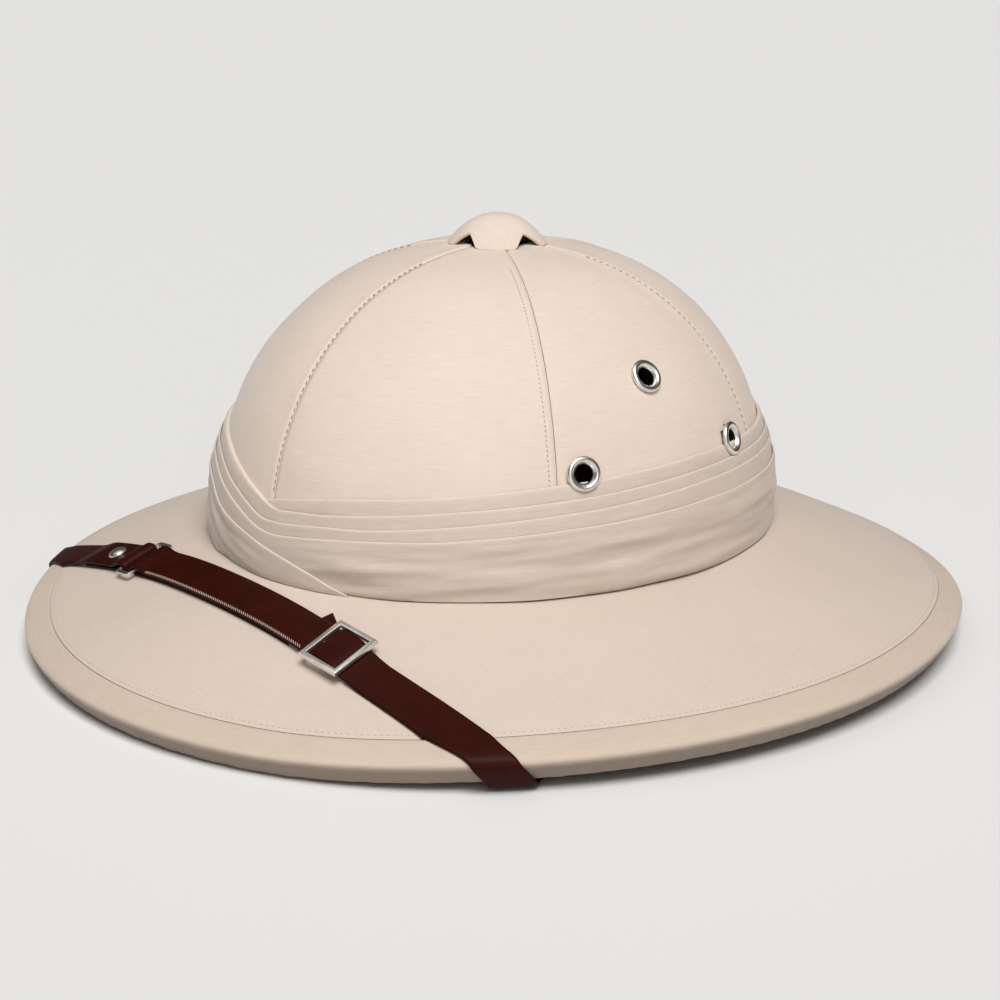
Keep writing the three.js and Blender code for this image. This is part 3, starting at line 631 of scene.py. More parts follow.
@dataclass(frozen=True)
class WovenCotton:
    """Plain-woven cotton drill, washed and pressed: matt, with thicker threads here and there.

    Its threads are about 0.4 mm apart, which is too fine to show, so they are drawn 0.85 mm apart.
    Washing leaves the cloth faintly cloudy. Folded edges can take a painted tone of their own, which
    stands in for their light and shade.
    """

    name: str
    colour: str
    slub: str
    thread_mm: float = 0.85
    slub_length_mm: float = 8.0
    slub_height_mm: float = 0.75
    cloud_mm: float = 40.0
    relief_mm: float = 0.04
    # A painted tone for folded edges, standing in for their light and shade.
    painted_fold_shading: str = ""

    def material(self) -> bpy.types.Material:
        """Builds the cloth, with its weave along the piece's own thread map."""
        finish = Finish(self.name)
        threads = finish.thread_map()
        # A wave repeats every 0.314 / scale.
        wave = {"Vector": threads, "Scale": 0.314 / self.thread_mm, "Distortion": 0.8}
        wave |= {"Detail": 2.0, "Detail Scale": 0.6}
        weft, warp = (
            add_node(finish.tree, "ShaderNodeTexWave", wave, bands_direction=way).outputs["Fac"]
            for way in ("X", "Y")
        )
        weave = finish.math("MULTIPLY", weft, warp)
        length, height = 1 / self.slub_length_mm, 1 / self.slub_height_mm
        slubs = finish.noise(finish.scaled(threads, length, height, 1), 1.0, 3.0, 0.6)
        upright_slubs = finish.noise(finish.scaled(threads, height, length, 1), 1.0, 2.0)
        clouds = finish.noise(finish.place(), 1000 / self.cloud_mm, 2.0)
        tone = finish.math("MULTIPLY_ADD", slubs, 0.55, finish.math("MULTIPLY", clouds, 0.25))
        tone = finish.math("MULTIPLY_ADD", weave, 0.03, tone)
        share = finish.ramp(tone, 0.26, 0.52, 1.0, 0.0)
        colour = finish.blend(share, linear(self.colour), linear(self.slub))
        # Painted light and shade: along folded edges the fold attribute blends in the given tone, which
        # stands for a highlight where it is paler and for shade where it is darker.
        if self.painted_fold_shading:
            fold = add_node(finish.tree, "ShaderNodeAttribute", attribute_name="fold").outputs["Fac"]
            colour = finish.blend(fold, colour, linear(self.painted_fold_shading))
        relief = finish.math("MULTIPLY_ADD", slubs, 0.5, weave)
        relief = finish.math("MULTIPLY_ADD", upright_slubs, 0.35, relief)
        return finish.surface(
            {
                "Base Color": colour,
                "Roughness": finish.ramp(slubs, first=0.82, last=0.95),
                "Normal": finish.bump(relief, 0.55, self.relief_mm),
                "IOR": 1.45,
                "Specular IOR Level": 0.35,
                "Sheen Weight": 0.18,
                "Sheen Roughness": 0.5,
            }
        )


@dataclass(frozen=True)
class PolishedLeather:
    """Strap leather: split cowhide, dyed red-brown and plated smooth, with a fine grain.

    The dye sinks a little darker at the cut edges, and the face shines in broad soft lights.
    """

    name: str
    colour: str
    deep: str
    grain_mm: float = 0.7
    creases_per_mm: tuple[float, float] = (0.9, 0.09)
    relief_mm: float = 0.06
    half_width_mm: float = 7.5
    dyed_edge_mm: tuple[float, float] = (1.3, 0.2)

    def material(self) -> bpy.types.Material:
        """Builds the leather, with its grain along the strap."""
        finish = Finish(self.name)
        threads = finish.thread_map()
        cells = {"Vector": threads, "Scale": 1 / self.grain_mm, "Randomness": 1.0}
        grain = add_node(finish.tree, "ShaderNodeTexVoronoi", cells).outputs["Distance"]
        drawn = finish.scaled(threads, *self.creases_per_mm, 1)
        creases = finish.noise(drawn, 1.0, 4.0, 0.6)
        clouds = finish.noise(finish.place(), 90.0, 3.0)
        across = add_node(finish.tree, "ShaderNodeSeparateXYZ", {"Vector": threads}).outputs["X"]
        low, high = (self.half_width_mm - inset for inset in self.dyed_edge_mm)
        edge = finish.ramp(finish.math("ABSOLUTE", across), low, high, shape="SMOOTHSTEP")
        shade = finish.math("MULTIPLY_ADD", creases, 0.6, finish.math("MULTIPLY", edge, 0.2))
        shade = finish.math("MULTIPLY_ADD", clouds, 0.5, shade)
        colours = (linear(self.colour), linear(self.deep))
        relief = finish.math("MULTIPLY_ADD", creases, 0.8, grain)
        return finish.surface(
            {
                "Base Color": finish.blend(finish.ramp(shade, 0.35, 1.1), *colours),
                "Roughness": finish.ramp(creases, first=0.38, last=0.56),
                "Normal": finish.bump(relief, 0.5, self.relief_mm),
                "IOR": 1.5,
                "Specular IOR Level": 0.06,
                "Coat Weight": 0.01,
                "Coat Roughness": 0.3,
            }
        )


@dataclass(frozen=True)
class NickelPlate:
    """Nickel-plated pressed steel or brass: bright, faintly warm, with fine rubbing marks."""

    name: str
    colour: str
    dull: str
    roughness: float = 0.3
    scratch_mm: float = 2.0
    relief_mm: float = 0.02

    def material(self) -> bpy.types.Material:
        """Builds the plate, with rubbing marks on the piece's own place."""
        finish = Finish(self.name)
        place = finish.place()
        clouds = finish.noise(place, 260.0, 4.0, 0.6)
        marks = finish.noise(finish.scaled(place, 400, 400, 2000 / self.scratch_mm), 1.0, 2.0)
        colours = (linear(self.colour), linear(self.dull))
        rough = finish.ramp(clouds, first=self.roughness - 0.06, last=self.roughness + 0.14)
        return finish.surface(
            {
                "Base Color": finish.blend(finish.ramp(clouds, 0.45, 0.75), *colours),
                "Roughness": rough,
                "Normal": finish.bump(marks, 0.08, self.relief_mm),
                "Metallic": 1.0,
            }
        )


@dataclass(frozen=True)
class PressedFibre:
    """Wood fibre pressed over a mould and sized: dull buff with darker flecks of fibre."""

    name: str
    colour: str
    fleck: str
    fibre_mm: float = 2.5
    relief_mm: float = 0.15

    def material(self) -> bpy.types.Material:
        """Builds the fibre board on the piece's own place."""
        finish = Finish(self.name)
        place = finish.place()
        fibres = finish.noise(place, 1000 / self.fibre_mm, 5.0, 0.7, 1.2)
        both = finish.math("MULTIPLY_ADD", finish.noise(place, 30.0, 3.0), 0.5, fibres)
        colours = (linear(self.colour), linear(self.fleck))
        return finish.surface(
            {
                "Base Color": finish.blend(finish.ramp(both, 0.55, 1.0), *colours),
                "Normal": finish.bump(fibres, 0.5, self.relief_mm),
                "Roughness": 0.93,
                "IOR": 1.45,
                "Specular IOR Level": 0.25,
            }
        )


@dataclass(frozen=True)
class SewingThread:
    """Twisted cotton sewing thread, waxed: matt, with its twist too fine to show."""

    name: str
    colour: str
    shade: str

    def material(self) -> bpy.types.Material:
        """Builds the thread, a little uneven from stitch to stitch."""
        finish = Finish(self.name)
        clouds = finish.noise(finish.place(), 700.0, 2.0)
        colour = finish.blend(clouds, linear(self.colour), linear(self.shade))
        return finish.surface({"Base Color": colour, "Roughness": 0.75, "Sheen Weight": 0.2})


class Wardrobe:
    """All the hat's finishes, made once."""

    def __init__(self) -> None:
        """Builds every finish."""
        self.crown = WovenCotton("cotton_drill_crown", "#DDCCBE", "#D4C2B3").material()
        self.brim = WovenCotton("cotton_drill_brim", "#CFBFB1", "#C8B7A8", relief_mm=0.025).material()
        # The binding's cloth is coloured darker than the brim's, a painted shade on the edge's wall, and
        # its side takes a further painted shade.
        self.binding = WovenCotton(
            "cotton_drill_binding", "#C9B8A8", "#C1AF9E", relief_mm=0.03, painted_fold_shading="#857466"
        ).material()
        # Its folded edges take a painted highlight, a paler tone along each fold.
        self.puggaree = WovenCotton(
            "cotton_drill_puggaree", "#CFBFB1", "#C5B4A6", relief_mm=0.035, painted_fold_shading="#DCCDBF"
        ).material()
        self.leather = PolishedLeather("split_cowhide_red_brown", "#360F07", "#1A0402").material()
        self.nickel = NickelPlate("nickel_plated_steel", "#EEEAE4", "#D0CAC1").material()
        self.fibre = PressedFibre("pressed_wood_fibre", "#C9B38F", "#A68A63").material()
        self.thread = SewingThread("cotton_thread_khaki", "#B09A85", "#8D7765").material()
        self.seam_thread = SewingThread("cotton_thread_seam", "#957F6C", "#6E5A4B").material()
        self.edge_thread = SewingThread("cotton_thread_edge", "#BFAE9F", "#AF9D8D").material()
        # A dark metal that stands for painted shade, in the vent's head and inside the eyelets' bores.
        self.painted_shade_metal = NickelPlate("painted_shade_steel", "#2A2622", "#15120F", 0.5).material()
        self.strap_thread = SewingThread("cotton_thread_tan", "#C7A99B", "#9A7A6C").material()


def dress(
    piece: bpy.types.Object, material: bpy.types.Material, slot: str, *nodes: str
) -> bpy.types.Object:
    """Gives a piece its finish and ties it to the hat.

    Args:
        piece: the piece.
        material: its finish.
        slot: the record's name for that finish; not used.
        nodes: the solids that it stands for.

    Returns:
        The piece.
    """
    piece.data.materials.clear()
    piece.data.materials.append(material)
    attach(piece, BODY)
    if nodes:
        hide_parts(*nodes)
    LOG.info("%s: %d faces", piece.name, len(piece.data.polygons))
    return piece


@dataclass(frozen=True)
class Stitch:
    """One kind of stitch, in millimetres, with its lean to the row in degrees."""

    pitch: float
    length: float
    width: float
    height: float
    lean: float

    def inputs(self) -> dict[str, float]:
        """The stitch as the tree's inputs."""
        sizes = {
            "Pitch": self.pitch,
            "Stitch Length": self.length,
            "Thread Width": self.width,
            "Thread Height": self.height,
        }
        return {name: size * MM for name, size in sizes.items()} | {"Lean": math.radians(self.lean)}


class StitchRows:
    """Rows of stitches laid along paths by a node tree."""

    INPUTS = ("Pitch", "Stitch Length", "Thread Width", "Thread Height", "Lean")

    def __init__(self) -> None:
        """Builds the tree once for all the rows."""
        self.tree = self._build()

    def _build(self) -> bpy.types.NodeTree:
        """A tree that turns a path into a row of stitches, each lying flat on the surface."""
        tree = bpy.data.node_groups.new("stitch_rows", "GeometryNodeTree")
        sockets = [("Path", "INPUT", "Geometry"), ("Stitches", "OUTPUT", "Geometry")]
        sockets += [(name, "INPUT", "Float") for name in self.INPUTS]
        for name, way, kind in [*sockets, ("Thread", "INPUT", "Material")]:
            tree.interface.new_socket(name, in_out=way, socket_type=f"NodeSocket{kind}")
        given = tree.nodes.new("NodeGroupInput").outputs

        def add(kind: str, output: str | int, inputs: dict | None = None, **settings: str) -> Socket:
            return add_node(tree, kind, inputs, **settings).outputs[output]

        curve = add("GeometryNodeMeshToCurve", "Curve", {"Mesh": given["Path"]})
        spaced = {"Curve": curve, "Length": given["Pitch"]}
        even = add("GeometryNodeResampleCurve", "Curve", spaced, mode="LENGTH")
        ball = add("GeometryNodeMeshUVSphere", "Mesh", {"Segments": 8, "Rings": 6, "Radius": 0.5})
        soft = add("GeometryNodeSetShadeSmooth", "Geometry", {"Geometry": ball})
        tangent = add("GeometryNodeInputTangent", "Tangent")
        named = {"Name": "up"}
        up = add("GeometryNodeInputNamedAttribute", "Attribute", named, data_type="FLOAT_VECTOR")
        along = add("FunctionNodeAlignRotationToVector", "Rotation", {"Vector": tangent}, axis="X")
        aims = {"Rotation": along, "Vector": up}
        flat = add("FunctionNodeAlignRotationToVector", "Rotation", aims, axis="Z", pivot_axis="X")
        # Every second stitch leans a little more than its neighbours.
        index = add("GeometryNodeInputIndex", "Index")
        odd = add("ShaderNodeMath", 0, {0: index, 1: 2.0}, operation="MODULO")
        more = add("ShaderNodeMath", 0, {0: odd, 1: 0.1, 2: -0.05}, operation="MULTIPLY_ADD")
        lean = add("ShaderNodeMath", 0, {0: more, 1: given["Lean"]}, operation="ADD")
        turn = add("ShaderNodeCombineXYZ", "Vector", {"Z": lean})
        turns = {"Rotation": flat, "Rotate By": add("FunctionNodeEulerToRotation", 0, {"Euler": turn})}
        leaning = add("FunctionNodeRotateRotation", 0, turns, rotation_space="LOCAL")
        sizes = dict(zip("XYZ", (given[name] for name in self.INPUTS[1:4])))
        placing = {"Points": even, "Instance": soft, "Rotation": leaning}
        placing["Scale"] = add("ShaderNodeCombineXYZ", "Vector", sizes)
        placed = add("GeometryNodeInstanceOnPoints", "Instances", placing)
        real = add("GeometryNodeRealizeInstances", "Geometry", {"Geometry": placed})
        dyeing = {"Geometry": real, "Material": given["Thread"]}
        dyed = add("GeometryNodeSetMaterial", "Geometry", dyeing)
        add_node(tree, "NodeGroupOutput", {"Stitches": dyed})
        return tree

    def sew(
        self,
        name: str,
        paths: list[tuple[np.ndarray, np.ndarray]],
        stitch: Stitch,
        material: bpy.types.Material,
        slot: str,
    ) -> bpy.types.Object:
        """Sews one piece's rows.

        Args:
            name: the piece's name.
            paths: for each row its points in millimetres and the surface's normals there.
            stitch: the kind of stitch.
            material: the thread.
            slot: the record's finish.

        Returns:
            The rows as one plain mesh.
        """
        points = np.vstack([p for p, _ in paths]) * MM
        ups = np.vstack([n for _, n in paths]).astype(np.float32)
        edges = []
        start = 0
        for path, _ in paths:
            edges += [(start + k, start + k + 1) for k in range(len(path) - 1)]
            start += len(path)
        mesh = bpy.data.meshes.new(f"{name}_path")
        mesh.from_pydata(points.tolist(), edges, [])
        attribute = mesh.attributes.new("up", "FLOAT_VECTOR", "POINT")
        attribute.data.foreach_set("vector", ups.reshape(-1))
        carrier = link(mesh, f"{name}_path")
        modifier = carrier.modifiers.new("stitches", "NODES")
        modifier.node_group = self.tree
        values = {**stitch.inputs(), "Thread": material}
        for item in self.tree.interface.items_tree:
            if item.name in values:
                modifier[item.identifier] = values[item.name]
        graph = bpy.context.evaluated_depsgraph_get()
        graph.update()
        made = bpy.data.meshes.new_from_object(carrier.evaluated_get(graph))
        bpy.data.objects.remove(carrier)
        return dress(link(made, name), material, slot)


@dataclass
class Crown:
    """The shell and the six cloth panels sewn over it, with their seams."""

    wardrobe: Wardrobe
    stitches: StitchRows
    holes: list[np.ndarray]
    hole_radius: float = 4.7
    rows: int = 84
    rim_rows: int = 15
    shell_foot: float = 8.8
    seam_gap: float = 0.35
    seam_depth: float = 0.55
    seam_width: float = 0.75
    fell_width: float = 4.2
    fell_rise: float = 0.22
    stitch_inset: float = 3.0
    stitch_dip: float = 0.12
    billow: float = 0.22
    ripple: float = 0.05
    # Each seam's angle, and how far beside it its stitches run.
    seams: tuple[tuple[float, float], ...] = (
        (-90.0, -0.35),
        (-28.0, -3.0),
        (28.0, -0.35),
        (90.0, -0.35),
        (152.0, -3.0),
        (208.0, -0.35),
    )

    def near_columns(self) -> np.ndarray:
        """Distances from a seam at which a panel has its closest columns."""
        return np.array([0.0, 0.25, 0.5, 0.8, 1.2, 1.7, 2.3, 2.7, 3.0, 3.3, 3.8, 4.3, 5.0, 6.2])

    def build(self) -> None:
        """Builds the shell, the panels and the seam stitches."""
        self.build_shell()
        for number, (angle, _) in enumerate(self.seams):
            following = self.seams[(number + 1) % len(self.seams)][0]
            if following < angle:
                following += 360
            self.build_panel(number + 1, angle, following)
        self.sew_seams()

    def panel_angles(self, rings: np.ndarray, start: float, end: float) -> tuple[np.ndarray, np.ndarray]:
        """Angles of a panel's columns on each ring, and their distances from its two seams."""
        fine = np.radians(np.linspace(start, end, 90))
        near = self.near_columns()
        phis = []
        places = []
        for ring in rings:
            speed = np.hypot(ring[0] * np.sin(fine), ring[1] * np.cos(fine))
            run = np.concatenate([[0], np.cumsum((speed[1:] + speed[:-1]) / 2 * np.diff(fine))])
            width = run[-1] - self.seam_gap
            share = min(1.0, width / (2.6 * near[-1]))
            close = near * share
            middle = np.linspace(close[-1], width - close[-1], 28)[1:-1]
            place = np.concatenate([close, middle, (width - close)[::-1]])
            phis.append(np.interp(place + self.seam_gap / 2, run, fine))
            places.append(np.stack([place, width - place], -1))
        return np.array(phis), np.array(places)

    def relief(self, places: np.ndarray, base: np.ndarray) -> np.ndarray:
        """How far the cloth stands out, from the distances to its two seams."""
        first, second = places[..., 0], places[..., 1]
        nearest = np.minimum(first, second)
        groove = self.seam_depth * np.exp(-((nearest / self.seam_width) ** 2))
        felled = self.fell_rise * (1 - smooth_step(self.fell_width - 0.8, self.fell_width, second))
        stitched = self.stitch_dip * np.exp(-(((second - self.stitch_inset) / 0.5) ** 2))
        soft = Unevenness(11, (70, 70, 55)).at(base) * self.billow
        fine = Unevenness(12, (26, 26, 15)).at(base) * self.ripple
        return felled - groove - stitched + (soft + fine) * smooth_step(0, 8, nearest)

    def build_panel(self, number: int, start: float, end: float) -> None:
        """Builds one cloth panel from the vent down under the puggaree."""
        heights = FORM.crown_heights(1.5, self.rows)
        rings = FORM.crown_rings(heights)
        phi, places = self.panel_angles(rings, start, end)
        base = FORM.points(rings, phi)
        normals = outward_normals(base, False)
        outer = base + normals * self.relief(places, base)[..., None]
        inner = base - normals * FORM.cloth
        cells = (outer[:-1, :-1] + outer[1:, 1:]) / 2
        kept = self.unpunched(cells, self.hole_radius, 8)
        run = run_along(base[:, phi.shape[1] // 2])[:, None]
        around = places[..., 0] - (places[..., 0] + places[..., 1]) / 2
        threads = np.stack([around, np.broadcast_to(run, around.shape)], -1)
        piece = wall(f"crown_cloth_{number}", outer, inner, threads=threads, kept=kept)
        dress(piece, self.wardrobe.crown, "cloth", f"crown_panel_{number}")

    def unpunched(self, cells: np.ndarray, radius: float, depth: float) -> np.ndarray:
        """Which cells of a wall lie clear of the eyelets' holes."""
        kept = np.ones(cells.shape[:2], dtype=bool)
        for pose in self.holes:
            local = seen_from(pose, cells)
            inside = np.hypot(local[..., 0], local[..., 1]) < radius
            kept &= ~(inside & (np.abs(local[..., 2]) < depth))
        return kept

    def seam_path(self, angle: float, offset: float) -> tuple[np.ndarray, np.ndarray]:
        """A line on the crown beside a seam, and its normals."""
        heights = FORM.crown_heights(30.0, 70)
        heights = heights[heights < 101.5]
        rings = FORM.crown_rings(heights)
        phi = math.radians(angle)
        speed = np.hypot(rings[:, 0] * math.sin(phi), rings[:, 1] * math.cos(phi))
        middle = phi + offset / speed
        turns = np.stack([middle - 0.01, middle, middle + 0.01], 1)
        grid = FORM.points(rings, turns)
        normals = outward_normals(grid, False)[:, 1]
        rise = 0.02 if abs(offset) < 2 else 0.16
        return grid[:, 1] + normals * rise, normals

    def sew_seams(self) -> None:
        """Lays the rows of stitches that hold the seams down."""
        for name, beside, pitch, length, thread in (
            ("crown_seam_stitches", False, 2.6, 1.7, self.wardrobe.seam_thread),
            ("crown_topstitches", True, 1.7, 0.95, self.wardrobe.thread),
        ):
            rows = [self.seam_path(a, offset) for a, offset in self.seams if (offset < -2) is beside]
            stitch = Stitch(pitch, length, width=0.36, height=0.28, lean=4.0)
            self.stitches.sew(name, rows, stitch, thread, "cloth")

    def build_shell(self) -> None:
        """Builds the moulded shell under the cloth, one wall from the vent to the rim."""
        phi = np.linspace(0, 2 * math.pi, 288, endpoint=False)
        crown = FORM.crown_rings(FORM.crown_heights(0.4, 74))
        brim = FORM.brim_rings(np.linspace(0, 1, 26))
        path = rounded_path(FORM.edge_path(), 2)
        path = respaced(path, np.linspace(0, 0.86, self.rim_rows + 1))[1:]
        rim = FORM.rim_rings(path[:, 0], path[:, 1])
        rings = np.concatenate([crown, brim, rim])
        base = FORM.points(rings, phi)
        normals = outward_normals(base, True)
        outer = base - normals * FORM.shell_depth
        bottom = FORM.points(FORM.rim_rings(self.shell_foot, FORM.cloth + FORM.gap), phi)[0]
        inner = self.shell_inside(base, normals, bottom)
        outer[-1] = np.where(outer[-1, :, 2:3] < bottom[:, 2:3], outer[-2], outer[-1])
        cells = (outer[:-1] + outer[1:]) / 2
        kept = self.unpunched(cells, self.hole_radius - 0.4, 9)
        piece = wall("moulded_shell", outer, inner, wraps=True, kept=kept)
        dress(piece, self.wardrobe.fibre, "shell", "shell")

    def shell_inside(self, base: np.ndarray, normals: np.ndarray, bottom: np.ndarray) -> np.ndarray:
        """The shell's inner side, which thickens into a solid rim behind the binding."""
        deep = base - normals * (FORM.shell_depth + FORM.shell)
        rows = base.shape[0]
        turn_row = rows - self.rim_rows - 3
        corner = deep[turn_row]
        below = np.linspace(0, 1, rows - turn_row)[:, None, None]
        deep[turn_row:] = corner + (bottom - corner) * below
        return deep


@dataclass
class Brim:
    """The brim's cloth and the bound edge round it."""

    wardrobe: Wardrobe
    stitches: StitchRows
    columns: int = 420
    puckers: int = 150
    pucker_waves: int = 26
    pucker_depth: float = 0.085
    wave_height: float = 0.28
    ripple: float = 0.06
    drawn_depth: float = 0.14
    drawn_width: float = 1.4
    # How far the binding's side is coloured towards its painted shade.
    painted_side_shade: float = 0.9

    def build(self) -> None:
        """Builds the brim's cloth, then its binding and the sewn line."""
        self.build_cloth()
        self.build_binding()
        self.sew_edge()

    def sway(self, base: np.ndarray) -> np.ndarray:
        """The brim's slight waviness, which its cloth and its binding share."""
        return Unevenness(21, (150, 150, 400), 8).at(base) * self.wave_height

    def build_cloth(self) -> None:
        """Builds the cloth over the brim, from under the puggaree to the sewn line."""
        phi = np.linspace(-math.pi / 2, 1.5 * math.pi, self.columns, endpoint=False)
        end = 1 - 0.2 / FORM.brim_run
        shares = np.concatenate([np.linspace(0.0, 0.97, 54), np.linspace(0.976, end, 6)])
        base = FORM.points(FORM.brim_rings(shares), phi)
        normals = outward_normals(base, True)
        run = FORM.brim_run * (1 - shares)[:, None]
        fine = Unevenness(22, (30, 30, 60)).at(base) * self.ripple
        fade = smooth_step(0.0, 6.0, run - 0.5)
        # The cloth dips where the binding's sewing draws it down.
        drawn = self.drawn_depth * np.exp(-((run / self.drawn_width) ** 2))
        outer = base + normals * ((self.sway(base) + fine) * fade - drawn)[..., None]
        inner = base - normals * FORM.cloth
        threads = plan_threads(base)
        piece = wall("brim_cotton", outer, inner, wraps=True, threads=threads)
        dress(piece, self.wardrobe.brim, "cloth", "brim_cloth")

    def edge_rings(self, rows: int) -> np.ndarray:
        """Rings of the binding's outer side, with its corners softened."""
        path = np.vstack([FORM.edge_path(), FORM.foot_path()])
        return respaced(rounded_path(path, 3), np.linspace(0, 1, rows))

    def build_binding(self) -> None:
        """Builds the doubled cloth that wraps the edge."""
        phi = np.linspace(-math.pi / 2, 1.5 * math.pi, 2 * self.columns, endpoint=False)
        path = self.edge_rings(48)
        base = FORM.points(FORM.rim_rings(path[:, 0], path[:, 1]), phi)
        normals = outward_normals(base, True)
        run = run_along(path)[:, None]
        # The cloth is eased round the rim, so it puckers lightly below the widest line.
        chance = np.random.default_rng(31)
        turns = np.zeros((1, len(phi)))
        for _ in range(self.pucker_waves):
            count = chance.integers(int(self.puckers * 0.4), int(self.puckers * 1.3))
            turns += np.cos(count * phi + chance.uniform(0, 2 * math.pi))[None]
        reach = smooth_step(11, 15, run) * (1 - smooth_step(20, 24, run))
        pucker = turns / math.sqrt(self.pucker_waves) * self.pucker_depth * reach
        top = 1 - smooth_step(0.0, 0.9, run)
        lip = 0.12 * smooth_step(0, 0.4, run) * (1 - smooth_step(1.5, 4.5, run)) - 0.18 * top
        fade = (1 - smooth_step(12, 17, run)) * smooth_step(0, 6, run)
        outer = base + normals * (self.sway(base) * fade + lip + pucker)[..., None]
        inner = base - normals * (FORM.cloth - 0.1)
        around = np.concatenate([phi, [1.5 * math.pi]]) * FORM.rim_radius
        threads = np.stack(np.broadcast_arrays(around[None], run), -1)
        # Painted shade: the side of the edge is coloured darker than its top.
        extra = {"fold": self.painted_side_shade * smooth_step(10.5, 14.0, run) * np.ones_like(phi)[None]}
        piece = wall("edge_binding_cotton", outer, inner, wraps=True, threads=threads, extra=extra)
        dress(piece, self.wardrobe.binding, "cloth", "edge_binding")

    def sew_edge(self) -> None:
        """Lays the fine stitches along the binding's upper edge."""
        phi = np.linspace(-math.pi / 2, 1.5 * math.pi, 721)
        rings = FORM.brim_rings(np.array([0.965, 0.975, 0.985]))
        grid = FORM.points(rings, phi)
        rows = [(grid[1], outward_normals(grid, False)[1])]
        stitch = Stitch(pitch=2.2, length=1.2, width=0.3, height=0.16, lean=2.0)
        self.stitches.sew("brim_edge_stitches", rows, stitch, self.wardrobe.edge_thread, "cloth")


